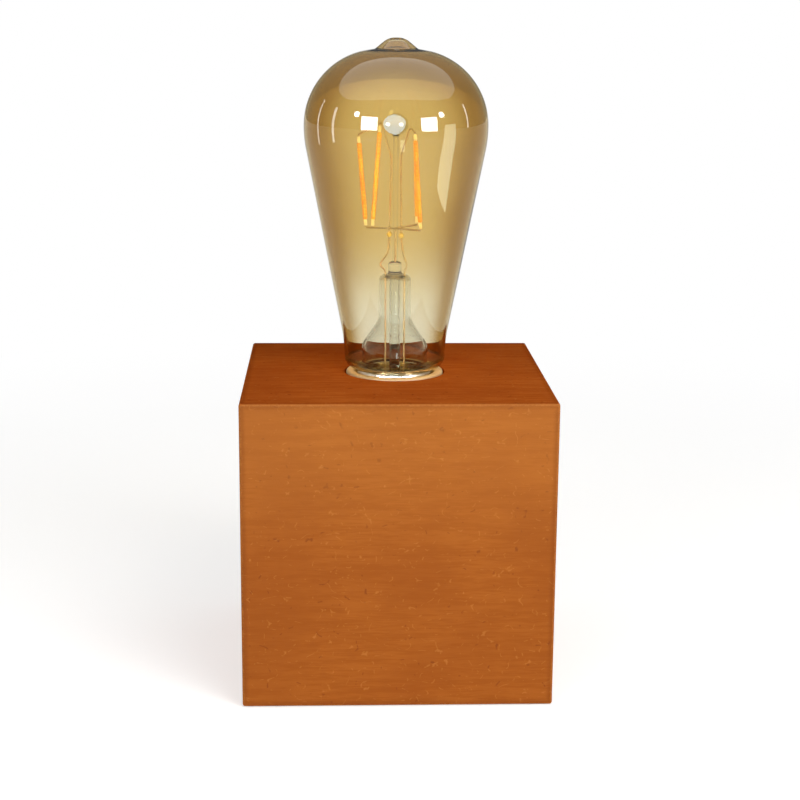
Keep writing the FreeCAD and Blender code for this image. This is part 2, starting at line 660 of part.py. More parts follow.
def terminals():
    """Brass terminal blocks below the insert, drilled for a conductor, and their screws."""
    screws = []
    for name, place in (("live_terminal", "-live_offset"), ("neutral_terminal", "neutral_offset")):
        block = primitive("Box", "undrilled_" + name, Length="terminal_width",
                          Width="terminal_depth", Height="terminal_height",
                          x=f"{place} - terminal_width / 2", y="-terminal_depth / 2",
                          z="terminal_foot")
        across = primitive("Cylinder", name + "_wire_hole", LYING_BACK,
                           Radius="terminal_wire_radius", Height="2 * terminal_depth",
                           x=place, y="-terminal_depth", z="terminal_foot + terminal_height / 2")
        thread = {"x": place, "z": "terminal_foot", "Height": "terminal_screw_length"}
        tapped = primitive("Cylinder", name + "_tapping", **thread,
                           Radius="terminal_screw_radius + shank_clearance")
        keep(joined("Cut", name, block, across, tapped), name)
        shank = primitive("Cylinder", name + "_thread", **thread, Radius="terminal_screw_radius")
        head = primitive("Cylinder", name + "_screw_head", x=place, Radius="terminal_head_radius",
                         Height="terminal_head_height", z="terminal_foot - terminal_head_height")
        screws.append(joined("MultiFuse", name + "_screw", shank, head))
    keep(grouped("terminal_screws", screws), "terminal_screws")


def hanger():
    """Steel strap below the top board, and the nipple, washer and nut that hold the cup to it."""
    body, sketch = body_with_sketch("undrilled_strap", "XZ_Plane")
    outline(sketch, (
        ("-strap_end", "strap_screw_seat"), ("-strap_side", "strap_screw_seat"),
        ("-strap_side", "strap_foot"), ("strap_side", "strap_foot"),
        ("strap_side", "strap_screw_seat"), ("strap_end", "strap_screw_seat"),
        ("strap_end", "ceiling"), ("strap_span / 2", "ceiling"), ("strap_span / 2", "cup_foot"),
        ("-strap_span / 2", "cup_foot"), ("-strap_span / 2", "ceiling"), ("-strap_end", "ceiling")))
    padded(body, sketch, "strap_width", both_ways=True)
    hole = primitive("Cylinder", "strap_nipple_hole", Radius="nipple_hole",
                     Height="3 * strap_thickness", z="strap_foot - strap_thickness")
    pilots = strap_screw_pair("strap_hole", "strap_screw_radius + shank_clearance",
                              "strap_screw_length")
    keep(joined("Cut", "holder_strap", body, hole, *pilots), "holder_strap")

    heads = [primitive("Cylinder", name, Radius="strap_screw_head", Height="strap_screw_head_height",
                       x=place, z="strap_screw_seat - strap_screw_head_height")
             for name, place in (("left_strap_head", "-strap_screw_offset"),
                                 ("right_strap_head", "strap_screw_offset"))]
    shanks = strap_screw_pair("strap_shank", "strap_screw_radius", "strap_screw_length")
    screws = [joined("MultiFuse", f"strap_screw_{side}", head, shank)
              for side, head, shank in zip(("left", "right"), heads, shanks)]
    keep(grouped("strap_screws", screws), "strap_screws")

    keep(turned("nipple", (
        ("nipple_bore", "nipple_top - nipple_length"), ("nipple_radius", "nipple_top - nipple_length"),
        ("nipple_radius", "nipple_top"), ("nipple_bore", "nipple_top"))), "nipple")
    keep(turned("washer", (
        ("nipple_hole", "strap_foot - washer_thickness"),
        ("washer_radius", "strap_foot - washer_thickness"),
        ("washer_radius", "strap_foot"), ("nipple_hole", "strap_foot"))), "washer")
    hexagon = primitive("Prism", "nut_blank", Circumradius="nut_across_flats / 2 / cos(30)",
                        Height="nut_height", z="strap_foot - washer_thickness - nut_height")
    bore = primitive("Cylinder", "nut_bore", Radius="nipple_hole", Height="3 * nut_height",
                     z="strap_foot - washer_thickness - 2 * nut_height")
    keep(joined("Cut", "nut", hexagon, bore), "nut")


def strap_screw_pair(name, radius, length):
    """Two upright cylinders where the strap is screwed to the top board."""
    return [primitive("Cylinder", f"{name}_{side}", Radius=radius, Height=length, x=place,
                      z="strap_screw_seat")
            for side, place in (("left", "-strap_screw_offset"), ("right", "strap_screw_offset"))]


# ---------------------------------------------------------------- the bulb


def envelope():
    """Glass envelope of one even wall: neck, cone, belly, shoulder and sealed tip."""
    inner_belly, inner_shoulder = "belly_arc - glass_wall", "shoulder_arc - glass_wall"
    keep(turned("glass_envelope", (
        ("neck_bore", "neck_end"), ("neck_bore", "neck_base"),
        ("neck_radius - neck_bevel", "neck_base"), ("neck_radius", "neck_base + neck_bevel"),
        ("neck_radius", "neck_level"), ("cone_top_radius", "cone_top", "belly_arc", LEFT_TURN),
        ("bulb_radius", "belly_level", "shoulder_arc", LEFT_TURN),
        ("pip_root", "pip_foot", "pip_arc", LEFT_TURN), ("0", "tip_level"), ("0", "dome_level"),
        ("pip_root", "dome_level", inner_shoulder, RIGHT_TURN),
        ("bulb_radius - glass_wall", "belly_level", inner_belly, RIGHT_TURN),
        (f"belly_centre + ({inner_belly}) * cone_cosine",
         f"belly_level - ({inner_belly}) * cone_sine"),
        ("neck_radius - glass_wall", "neck_level + glass_wall * (1 - cone_cosine) / cone_sine"),
        ("neck_radius - glass_wall", "neck_base + neck_bevel + bevel_shift"),
        ("neck_radius - neck_bevel - bevel_shift", "neck_base + glass_wall"),
        ("neck_bore - glass_wall", "neck_base + glass_wall"),
        ("neck_bore - glass_wall", "neck_end"))), "glass_envelope")


def screw_cap():
    """Sheet-metal screw cap, the black glass in its end, and the end contact."""
    keep(turned("bulb_cap", (
        ("insulator_radius + insulator_fit", "cap_lip"),
        ("insulator_radius + insulator_fit + cap_sheet", "cap_lip"), ("cap_radius", "cap_foot"),
        ("cap_radius", "seat"), ("cap_bore", "seat"), ("cap_bore", "cap_foot"))), "bulb_cap")
    keep(turned("cap_insulator", (
        ("0", "insulator_end"), ("insulator_tip", "insulator_end"), ("insulator_radius", "cap_lip"),
        ("insulator_radius", "insulator_top"), ("0", "insulator_top"))), "cap_insulator")
    keep(turned("end_contact", (
        ("0", "contact_end"), ("contact_flat", "contact_end"), ("contact_radius", "contact_face"),
        ("contact_radius", "insulator_end"), ("0", "insulator_end"))), "end_contact")


def stem():
    """Stem fused into the neck: skirt, flare, tube and press, drilled for the lead wires."""
    whole = turned("undrilled_stem", (
        ("skirt_radius - stem_wall", "neck_end"), ("skirt_radius", "neck_end"),
        ("skirt_radius", "flare_start"), ("stem_radius", "flare_end"), ("stem_radius", "stem_end"),
        ("press_radius", "stem_end"), ("press_radius", "press_end - press_bevel"),
        ("press_radius - press_bevel", "press_end"), ("0", "press_end"),
        ("0", "stem_end - stem_wall"), ("stem_radius - stem_wall", "stem_end - stem_wall"),
        ("stem_radius - stem_wall", "flare_end"), ("skirt_radius - stem_wall", "flare_start")))
    holes = [primitive("Cylinder", name, Radius="wire_radius + shank_clearance", x=place,
                       Height="4 * stem_wall", z="stem_end - 2 * stem_wall")
             for name, place in (("left_lead_hole", "-lead_spacing"), ("right_lead_hole", "lead_spacing"))]
    keep(joined("Cut", "stem", whole, *holes), "stem")
    keep(turned("exhaust_tube", (
        ("exhaust_radius - exhaust_wall", "seat - exhaust_foot"),
        ("exhaust_radius", "seat - exhaust_foot"),
        ("exhaust_radius", "stem_end - stem_wall - glass_joint"),
        ("exhaust_radius - exhaust_wall", "stem_end - stem_wall - glass_joint"))), "exhaust_tube")
    keep(turned("button_rod", (
        ("0", "press_end"), ("rod_radius", "press_end"), ("rod_radius", "button_foot"),
        ("button_radius - button_bevel", "button_foot"),
        ("button_radius", "button_foot + button_bevel"),
        ("button_radius", "button_top - button_bevel"),
        ("button_radius - button_bevel", "button_top"), ("0", "button_top"))), "button_rod")


def cage():
    """Lead wires, cross wire and anchor; each wire runs through its own named points."""
    for side, sign, places in LEAD_WIRES:
        across = sign * worth("lead_spacing")
        run = [FreeCAD.Vector(across, 0, worth("driver_top")),
               FreeCAD.Vector(across, 0, worth("stem_end + lead_rise"))]
        run += [point(f"{side}_{place}") for place in places]
        keep(shaped(f"lead_wire_{side}", round_wire(run)), f"lead_wire_{side}")
    cross = round_wire([point(name) for name in (
        "left_outer_foot", "left_inner_foot", "cross_middle", "right_front_foot")])
    middle, back = point("cross_middle"), point("right_back_foot")
    branch = round_wire([middle, back])
    keep(shaped("cross_wire", cross.fuse(branch)), "cross_wire")
    below = FreeCAD.Vector(0, 0, worth("wire_radius + shank_clearance"))
    keep(shaped("anchor_wire", round_wire([point("anchor_foot"), middle - below])), "anchor_wire")

    beads = []
    for side in ("left", "right"):
        bend = point(side + "_bead")
        along = (point(side + "_fork") - bend).normalize()
        foot = bend + along * worth("bead_rise")
        bead = Part.makeCylinder(worth("bead_radius"), worth("bead_length"), foot, along)
        bore = Part.makeCylinder(
            worth("wire_radius + shank_clearance"), worth("bead_length"), foot, along)
        beads.append(bead.cut(bore))
    keep(shaped("wire_beads", Part.makeCompound(beads)), "wire_beads")


def filaments():
    """Four coated filaments between the cross wire and the lead wires, each with two tabs."""
    tabs = []
    gap, tab = worth("wire_radius + weld_gap"), worth("tab_length")
    width, thickness = worth("tab_width"), worth("tab_thickness")
    for name in ("left_outer", "left_inner", "right_front", "right_back"):
        foot, head = point(name + "_foot"), point(name + "_head")
        along = (head - foot).normalize()
        turn = FreeCAD.Rotation(UP, along)
        rod = primitive("Cylinder", f"filament_{name}", Radius="filament_radius")
        rod.Height = (head - foot).Length - 2 * (gap + tab)
        rod.Placement = FreeCAD.Placement(foot + along * (gap + tab), turn)
        keep(rod, f"filament_{name}")
        for start in (foot + along * gap, head - along * (gap + tab)):
            strip = Part.makeBox(width, thickness, tab, FreeCAD.Vector(-width / 2, -thickness / 2, 0))
            strip.Placement = FreeCAD.Placement(start, turn).multiply(strip.Placement)
            tabs.append(strip)
    keep(shaped("filament_tabs", Part.makeCompound(tabs)), "filament_tabs")


def driver():
    """Small circuit board standing in the cap, with a capacitor before it and a rectifier behind."""
    keep(primitive("Box", "driver_board", Length="driver_width", Width="driver_thickness",
                   Height="driver_height", x="-driver_width / 2", y="-driver_thickness / 2",
                   z="driver_foot"), "driver_board")
    keep(primitive("Cylinder", "driver_capacitor", Radius="capacitor_radius",
                   Height="capacitor_length", y="-driver_thickness / 2 - capacitor_radius",
                   z="driver_foot + (driver_height - capacitor_length) / 2"), "driver_capacitor")
    keep(primitive("Box", "driver_rectifier", Length="rectifier_width", Width="rectifier_depth",
                   Height="rectifier_height", x="-rectifier_width / 2", y="driver_thickness / 2",
                   z="driver_foot + (driver_height - rectifier_height) / 2"), "driver_rectifier")


# ---------------------------------------------------------------- build, test and write


def build():
    """Make every piece of the lamp."""
    write_sheet()
    form = eased_cube()
    walls(form)
    top_board(form)
    corner_blocks()
    bottom_cover()
    cable_bush()
    holder_sleeve()
    holder_cup()
    insert()
    screw_shell()
    contact_tongue()
    rivets()
    terminals()
    hanger()
    envelope()
    screw_cap()
    stem()
    cage()
    filaments()
    driver()
    document.recompute()


def test():
    """Stop if any object failed or any piece is empty or not a sound solid."""
    for thing in document.Objects:
        if {"Invalid", "Error"} & set(thing.State):
            raise RuntimeError(f"{thing.Name}: {thing.State}")
    for name, piece in pieces.items():
        shape = piece.Shape
        if shape.isNull() or not shape.isValid() or not shape.Solids or shape.Volume <= 0:
            raise RuntimeError(f"{name} is not a sound solid")


def write():
    """Write one STEP file for each piece."""
    os.makedirs("parts", exist_ok=True)
    for name, piece in pieces.items():
        piece.Shape.exportStep(f"parts/{name}.step")
        print(f"{name}: {len(piece.Shape.Solids)} solid(s), {piece.Shape.Volume:.1f} mm3")


build()
test()
write()
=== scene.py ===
import json
import math

import bpy
import numpy as np
from mathutils import Matrix


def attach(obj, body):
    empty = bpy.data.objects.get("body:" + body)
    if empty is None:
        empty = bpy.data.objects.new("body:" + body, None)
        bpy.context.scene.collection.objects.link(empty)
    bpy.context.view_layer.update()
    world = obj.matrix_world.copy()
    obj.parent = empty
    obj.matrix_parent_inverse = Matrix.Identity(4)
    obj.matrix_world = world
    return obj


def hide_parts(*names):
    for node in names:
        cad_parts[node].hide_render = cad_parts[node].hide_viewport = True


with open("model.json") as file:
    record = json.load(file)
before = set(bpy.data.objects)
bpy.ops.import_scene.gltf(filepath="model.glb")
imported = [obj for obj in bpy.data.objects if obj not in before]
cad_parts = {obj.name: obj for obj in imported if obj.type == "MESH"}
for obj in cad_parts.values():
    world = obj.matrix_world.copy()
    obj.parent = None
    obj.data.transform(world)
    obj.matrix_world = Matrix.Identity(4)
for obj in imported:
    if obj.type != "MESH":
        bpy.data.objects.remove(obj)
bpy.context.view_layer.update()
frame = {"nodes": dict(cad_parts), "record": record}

# Sizes in millimetres, as the solids have them. The mesh functions turn them into metres.
METRE = 0.001
SIDE = 105.0            # the cube
BOARD = 12.0            # its boards
EASE = 0.9              # rounding of the cube's outer edges
NEAR = np.array([0.0, 0.18, 0.36, 0.54, 0.72, 0.9, 1.2, 2.0]) * EASE      # stations by an edge
SEAT = 106.0            # upper edge of the bulb's cap
PITCH = 3.629           # the 27 mm screw thread
BELLY = SEAT + 85.0     # level of the bulb's largest radius
WALL = 0.9              # glass
BELLY_ARC = (42.0, -10.25)      # radius of the cone's upper arc, and its centre from the axis
SHOULDER_ARC = (26.0, 5.75)     # the same for the shoulder
HOLE = 17.8             # radius of the top board's hole
HOLDER = 17.1           # radius of the holder's sleeve and cup
SPLIT = 61.6            # level where sleeve and cup meet
SHELL = 75.6            # lower edge of the screw shell
NECK = 17.7             # radius of the bulb's neck
RIM = 105.6             # upper edge of the holder's sleeve
WIRE = 0.28             # radius of the wires
TAB_GAP = WIRE + 0.4    # from a wire's middle to the tab that is welded to it
TAB_HALF = 1.1          # half of a tab's length


# ---- meshes from arrays


def quads(rows, columns, wrap_rows=False, wrap_columns=False, start=0):
    """Corner numbers of a grid's quads, row after row; a wrapped side joins last line to first."""
    row, column = np.meshgrid(
        np.arange(rows if wrap_rows else rows - 1),
        np.arange(columns if wrap_columns else columns - 1), indexing="ij")
    next_row, next_column = (row + 1) % rows, (column + 1) % columns
    corners = np.stack([row * columns + column, row * columns + next_column,
                        next_row * columns + next_column, next_row * columns + column], -1)
    return corners.reshape(-1, 4) + start


def piece(name, points, faces, crease=35.0):
    """A closed mesh object from points in millimetres and rows of corner numbers.

    Points that fall together are made one, faces without area go, and the signed volume, the sum
    of each triangle's triple product, tells whether the faces have to be turned to look outwards.
    """
    points = np.asarray(points, float).reshape(-1, 3)
    _, first, same = np.unique(np.round(points, 5), axis=0, return_index=True, return_inverse=True)
    points, faces = points[first], same.reshape(-1)[np.asarray(faces)]
    keep = [np.array(list(dict.fromkeys(face))) for face in faces.tolist()]
    keep = [face for face in keep if len(face) > 2]
    fans = np.array([(face[0], *pair) for face in keep for pair in zip(face[1:], face[2:])])
    a, b, c = (points[fans[:, k]] for k in range(3))
    if np.einsum("ij,ij->i", a, np.cross(b, c)).sum() < 0:
        keep = [face[::-1] for face in keep]
    mesh = bpy.data.meshes.new(name)
    mesh.from_pydata((points * METRE).tolist(), [], [face.tolist() for face in keep])
    mesh.shade_smooth()
    mesh.set_sharp_from_angle(angle=math.radians(crease))
    mesh.update()
    made = bpy.data.objects.new(name, mesh)
    bpy.context.scene.collection.objects.link(made)
    return made


def together(name, parts, crease=35.0):
    """Several closed shells, each its own points and faces, as one piece."""
    starts = np.cumsum([0] + [len(points) for points, _ in parts[:-1]])
    faces = np.concatenate([faces + start for (_, faces), start in zip(parts, starts)])
    return piece(name, np.concatenate([points for points, _ in parts]), faces, crease)


def eased(corners, closed=False, steps=7):
    """An outline through (across, up, ease) corners, each rounded by an arc of that radius.

    The arc touches both sides at the radius over the tangent of half the angle between them. Its
    points are the centre plus the radius times a unit vector that turns evenly from one touching
    point to the other.
    """
    places = np.array([corner[:2] for corner in corners], float)
    line = []
    for number, corner in enumerate(corners):
        here = places[number]
        ease = corner[2] if len(corner) > 2 else 0.0
        if ease == 0 or (not closed and number in (0, len(corners) - 1)):
            line.append(here[None])
            continue
        back = places[number - 1] - here
        ahead = places[(number + 1) % len(corners)] - here
        back, ahead = back / np.linalg.norm(back), ahead / np.linalg.norm(ahead)
        half = 0.5 * math.acos(np.clip(back @ ahead, -1, 1))
        middle = (back + ahead) / np.linalg.norm(back + ahead)
        centre = here + middle * ease / math.sin(half)
        start, end = (here + side * ease / math.tan(half) - centre for side in (back, ahead))
        turn = math.pi - 2 * half
        share = np.linspace(0, 1, steps)[:, None]
        line.append(centre + (np.sin((1 - share) * turn) * start + np.sin(share * turn) * end)
                    / math.sin(turn))
    return np.concatenate(line)


def spun(outline, sides=96, closed=True):
    """Points and faces of an outline of (radius, height) turned about the lamp's axis.

    The point at angle t is (radius cos t, radius sin t, height).
    """
    turn = np.linspace(0, 2 * math.pi, sides, endpoint=False)
    radius, height = outline[:, :1], outline[:, 1:2]
    points = np.stack([radius * np.cos(turn), radius * np.sin(turn), height + 0 * turn], -1)
    return points.reshape(-1, 3), quads(len(outline), sides, closed, True)


def turned(name, outline, sides=96, closed=True, crease=35.0):
    """A piece turned about the lamp's axis; an open outline starts and ends on the axis."""
    return piece(name, *spun(outline, sides, closed), crease)


def bent(points, bend, steps=9):
    """A path through points, each inner one cut by a curve that starts and ends at most bend away.

    The curve is (1-u)^2 A + 2u(1-u) P + u^2 B for u from 0 to 1, P being the corner.
    """
    points = np.array(points, float)
    path = [points[:1]]
    for before, here, after in zip(points[:-2], points[1:-1], points[2:]):
        back, ahead = before - here, after - here
        reach = [min(bend, 0.45 * np.linalg.norm(side)) for side in (back, ahead)]
        start = here + back / np.linalg.norm(back) * reach[0]
        end = here + ahead / np.linalg.norm(ahead) * reach[1]
        u = np.linspace(0, 1, steps)[:, None]
        path.append((1 - u) ** 2 * start + 2 * u * (1 - u) * here + u ** 2 * end)
    return np.concatenate(path + [points[-1:]])


def rod(path, radius, sides=14, guide=(0.31, 0.92, 0.17)):
    """Points and faces of a round rod along a path, with flat ends.

    At each station the section is radius (cos t N + sin t B), where N is square to the path and
    to the guide direction, and B is square to both. Radius may be one number or one a station.
    """
    path = np.asarray(path, float)
    along = np.gradient(path, axis=0)
    along /= np.linalg.norm(along, axis=1)[:, None]
    across = np.cross(along, np.array(guide))
    across /= np.linalg.norm(across, axis=1)[:, None]
    other = np.cross(along, across)
    turn = np.linspace(0, 2 * math.pi, sides, endpoint=False)
    size = np.broadcast_to(np.asarray(radius, float), len(path))[:, None, None]
    ring = path[:, None] + size * (np.cos(turn)[None, :, None] * across[:, None]
                                   + np.sin(turn)[None, :, None] * other[:, None])
    ends = np.repeat(path[[0, -1], None], sides, 1)
    rings = np.concatenate([ends[:1], ring, ends[1:]])
    return rings.reshape(-1, 3), quads(len(rings), sides, False, True)


def box_shell(centre, half, turn=None, ease=0.15):
    """Points and faces of a small block with rounded edges, optionally turned by a matrix.

    A grid on each side of the block is drawn in by the ease, and each point is then pushed out
    by the ease along the direction that it was drawn in from.
    """
    half = np.array(half, float)
    steps = np.array([-1, -0.995, -0.97, -0.9, 0, 0.9, 0.97, 0.995, 1])
    parts, faces = [], []
    for axis in range(3):
        for sign in (-1, 1):
            u, v = np.meshgrid(steps, steps, indexing="ij")
            flat = np.stack([np.full_like(u, sign), u, v * sign], -1)
            flat = np.roll(flat, axis, -1) * half
            faces.append(quads(9, 9, start=81 * len(parts)))
            parts.append(flat.reshape(-1, 3))
    points = np.concatenate(parts)
    core = np.clip(points, -(half - ease), half - ease)
    out = points - core
    length = np.linalg.norm(out, axis=1)[:, None]
    points = core + out / np.maximum(length, 1e-9) * ease
    if turn is not None:
        points = points @ np.asarray(turn).T
    return points + np.array(centre, float), np.concatenate(faces)


# ---- the cube's boards


def eased_cube(points):
    """Points of the sharp cube's skin brought onto the cube with rounded edges.

    Each point is drawn into the block that is smaller by the ease on every side, and moved out
    again by the ease along the direction from there.
    """
    middle = np.array([0, 0, SIDE / 2])
    centred = points - middle
    core = np.clip(centred, EASE - SIDE / 2, SIDE / 2 - EASE)
    out = centred - core
    return core + out / np.linalg.norm(out, axis=-1)[..., None] * EASE + middle


def fine_ends(low, high, count):
    """Stations from low to high, close together at both ends where the edges round off."""
    return np.concatenate([low + NEAR, np.linspace(low + 4, high - 4, count), (high - NEAR)[::-1]])


def window_ring(columns, rows, window):
    """Corner numbers round a grid's window, anticlockwise from its lower left corner."""
    left, right, low, high = window
    number = np.arange(len(rows) * len(columns)).reshape(len(rows), len(columns))
    return np.concatenate([number[low, left:right], number[low:high, right],
                           number[high, right:left:-1], number[high:low:-1, left]])


def skin_with_hole(columns, rows, window, centre, radii):
    """A flat grid of (across, up) points with one round hole, and its faces.

    The quads inside the window go, and rings take their place: from the window's edge to the
    hole's circle, each point moves along a straight line, (1-t) edge + t circle.
    """
    across, up = np.meshgrid(columns, rows)
    flat = np.stack([across, up], -1).reshape(-1, 2)
    faces = quads(len(rows), len(columns))
    if window is None:
        return flat, faces, []
    left, right, low, high = window
    row, column = np.divmod(faces[:, 0], len(columns))
    inside = (row >= low) & (row < high) & (column >= left) & (column < right)
    ring = window_ring(columns, rows, window)
    edge = flat[ring]
    angle = np.arctan2(edge[:, 1] - centre[1], edge[:, 0] - centre[0])
    circle = np.array(centre) + radii * np.stack([np.cos(angle), np.sin(angle)], -1)
    share = np.linspace(0, 1, 5)[1:, None, None]
    rings = (1 - share) * edge + share * circle
    numbers = np.concatenate([ring[None], len(flat) + np.arange(4 * len(ring)).reshape(4, -1)])
    patch = numbers.reshape(-1)[quads(len(numbers), len(ring), False, True)]
    return (np.concatenate([flat, rings.reshape(-1, 2)]),
            np.concatenate([faces[~inside], patch]), numbers[-1])


def stations_with(low, high, window_low, window_high, count):
    """Stations with fine ends, and even ones across a window between them."""
    ends = fine_ends(low, high, 2)
    return np.concatenate([ends[:9], np.linspace(window_low, window_high, count), ends[-9:]])


def board(name, turn, columns, rows, lift, window=None, centre=(0, 0), radius=0.0, sinking=None):
    """One mitred board: its outer skin on the eased cube, its flat inner face, and its sides.

    A skin point is (across, outwards, up) before the board is turned to its face. Below the
    wall's lower edge the skin goes on over the underside, and narrows with the mitre.
    """
    half = SIDE / 2
    flat, faces, hole = skin_with_hole(columns, rows, window, centre, radius)
    across, up = flat[:, 0], flat[:, 1]
    below = np.minimum(up, 0) if lift else np.zeros_like(up)
    outer = np.stack([across * (half + below) / half, -half - below,
                      np.maximum(up, 0) if lift else up], -1)
    shrink = (half - BOARD) / half
    if lift:
        inner_up = (up - rows[0]) / (rows[-1] - rows[0]) * (SIDE - BOARD)
    else:
        inner_up = up * shrink
    inner = np.stack([across * shrink, np.full_like(across, BOARD - half), inner_up], -1)
    if len(hole):
        circle = outer[hole]
        inner[hole, 0], inner[hole, 2] = circle[:, 0], circle[:, 2]
        for step in range(1, 4):
            lines = hole - step * len(hole)
            share = 1 - step / 4
            edge = inner[window_ring(columns, rows, window)]
            inner[lines] = (1 - share) * edge + share * inner[hole]
    if not lift:
        # The top board: outwards is up.
        outer, inner = (np.stack([p[:, 0], p[:, 2], half - p[:, 1]], -1) for p in (outer, inner))
    else:
        outer, inner = outer @ turn.T, inner @ turn.T
    skin = eased_cube(outer)
    if len(hole):
        skin[hole] = outer[hole]
    count = len(flat)
    grid = np.arange(len(rows) * len(columns)).reshape(len(rows), len(columns))
    border = np.concatenate([grid[0, :-1], grid[:-1, -1], grid[-1, :0:-1], grid[:0:-1, 0]])
    after = np.roll(border, -1)
    sides = np.stack([border, after, after + count, border + count], -1)
    parts = [faces, (faces + count)[:, ::-1], sides[:, ::-1]]
    points = [skin, inner]
    if len(hole):
        next_hole = np.roll(hole, -1)
        if sinking is None:
            parts.append(np.stack([hole, next_hole, next_hole + count, hole + count], -1))
        else:
            narrow, depth = sinking
            middle = np.array([centre[0], -half, centre[1]])
            step_in = outer[hole] @ turn
            step_in[:, 1] = -half + depth
            shoulder = middle + (step_in - middle) * np.array([narrow / radius, 1, narrow / radius])
            floor = inner[hole] @ turn
            floor[:, [0, 2]] = shoulder[:, [0, 2]]
            start = 2 * count
            ring_count = len(hole)
            points += [step_in @ turn.T, shoulder @ turn.T]
            points[1][hole] = floor @ turn.T
            step = np.arange(ring_count)
            nxt = (step + 1) % ring_count
            for first, second in ((hole, start + step), (start + step, start + ring_count + step),
                                  (start + ring_count + step, hole + count)):
                parts.append(np.stack([first, first[nxt], second[nxt], second], -1))
    return piece(name, np.concatenate(points), np.concatenate(parts), 30.0)


def make_boards():
    """The five boards of the cube, each turned to its own face."""
    wall_rows = np.concatenate([[-BOARD, -6.0], -NEAR[:0:-1], fine_ends(0.0, SIDE, 12)])
    columns = fine_ends(-SIDE / 2, SIDE / 2, 14)
    made = {}
    for name, angle in (("front", 0), ("right", 90), ("left", 270)):
        turn = np.array(Matrix.Rotation(math.radians(angle), 3, "Z"))
        made[name] = board(f"stained_{name}", turn, columns, wall_rows, True)
    back_columns = stations_with(-SIDE / 2, SIDE / 2, -11.0, 11.0, 13)
    back_rows = np.concatenate([wall_rows[:9], NEAR, np.linspace(7.0, 29.0, 13),
                                np.linspace(36, 100, 9), SIDE - NEAR[::-1]])
    turn = np.array(Matrix.Rotation(math.pi, 3, "Z"))
    made["back"] = board("stained_back", turn, back_columns, back_rows, True,
                         (9, 21, 17, 29), (0.0, 18.0), 7.05, (5.0, 1.6))
    top_lines = stations_with(-SIDE / 2, SIDE / 2, -24.0, 24.0, 25)
    made["top"] = board("stained_top", np.eye(3), top_lines, top_lines, False,
                        (9, 33, 9, 33), (0.0, 0.0), HOLE)
    return made


# ---- the lampholder


def threaded(outer, low, high, fade_low, fade_high, crest, sheet=0.4, sides=112):
    """Points and faces of a tube whose wall carries the screw thread.

    The wall's radius is the plain one less the crest height times (1 - cos(2 pi s)) / 2, where
    s = height / pitch - angle / full turn. The thread fades out over a length at each end.
    """
    turn = np.linspace(0, 2 * math.pi, sides, endpoint=False)[None]
    height = np.linspace(low, high, int((high - low) / PITCH * 12) + 2)[:, None]
    fade = np.clip((height - low) / fade_low, 0, 1) * np.clip((high - height) / fade_high, 0, 1)
    fade = fade * fade * (3 - 2 * fade)
    wave = 0.5 - 0.5 * np.cos(2 * math.pi * (height / PITCH - turn / (2 * math.pi)))
    radius = outer - crest * wave * fade
    skins = []
    for offset in (0.0, -sheet):
        r = radius + offset
        skins.append(np.stack([r * np.cos(turn), r * np.sin(turn), height + 0 * turn], -1))
    rings = np.concatenate([skins[0], skins[1][::-1]])
    return rings, quads(len(rings), sides, True, True)


def make_holder():
    """The pale sleeve with its rounded rim, the threaded shell in it and the cup below."""
    sleeve = turned("holder_sleeve_moulded", eased([
        (14.45, SPLIT), (HOLDER, SPLIT, 0.3), (HOLDER, RIM, 0.75), (14.0, RIM, 1.1),
        (14.0, SHELL, 0.05), (14.45, SHELL)], closed=True), 128)
    rings, faces = threaded(13.75, SHELL, 99.1, 1.5, 1.0, 0.95)
    shell = piece("screw_shell_rolled", rings, faces, 60.0)
    cup = turned("holder_cup_moulded", eased([
        (5.05, 49.6), (11.0, 49.6, 0.8), (HOLDER, 56.6, 2.2), (HOLDER, SPLIT, 0.25),
        (14.35, SPLIT, 0.1), (14.35, 67.6, 0.3), (11.95, 67.6, 0.3), (11.95, 54.2, 0.8),
        (5.05, 54.2)], closed=True))
    return sleeve, shell, cup


# ---- the bulb


def arc(radius, centre, angle):
    """Points of an arc, each (centre + radius cos t, belly's level + radius sin t)."""
    return np.stack([centre + radius * np.cos(angle), BELLY + radius * np.sin(angle)], -1)


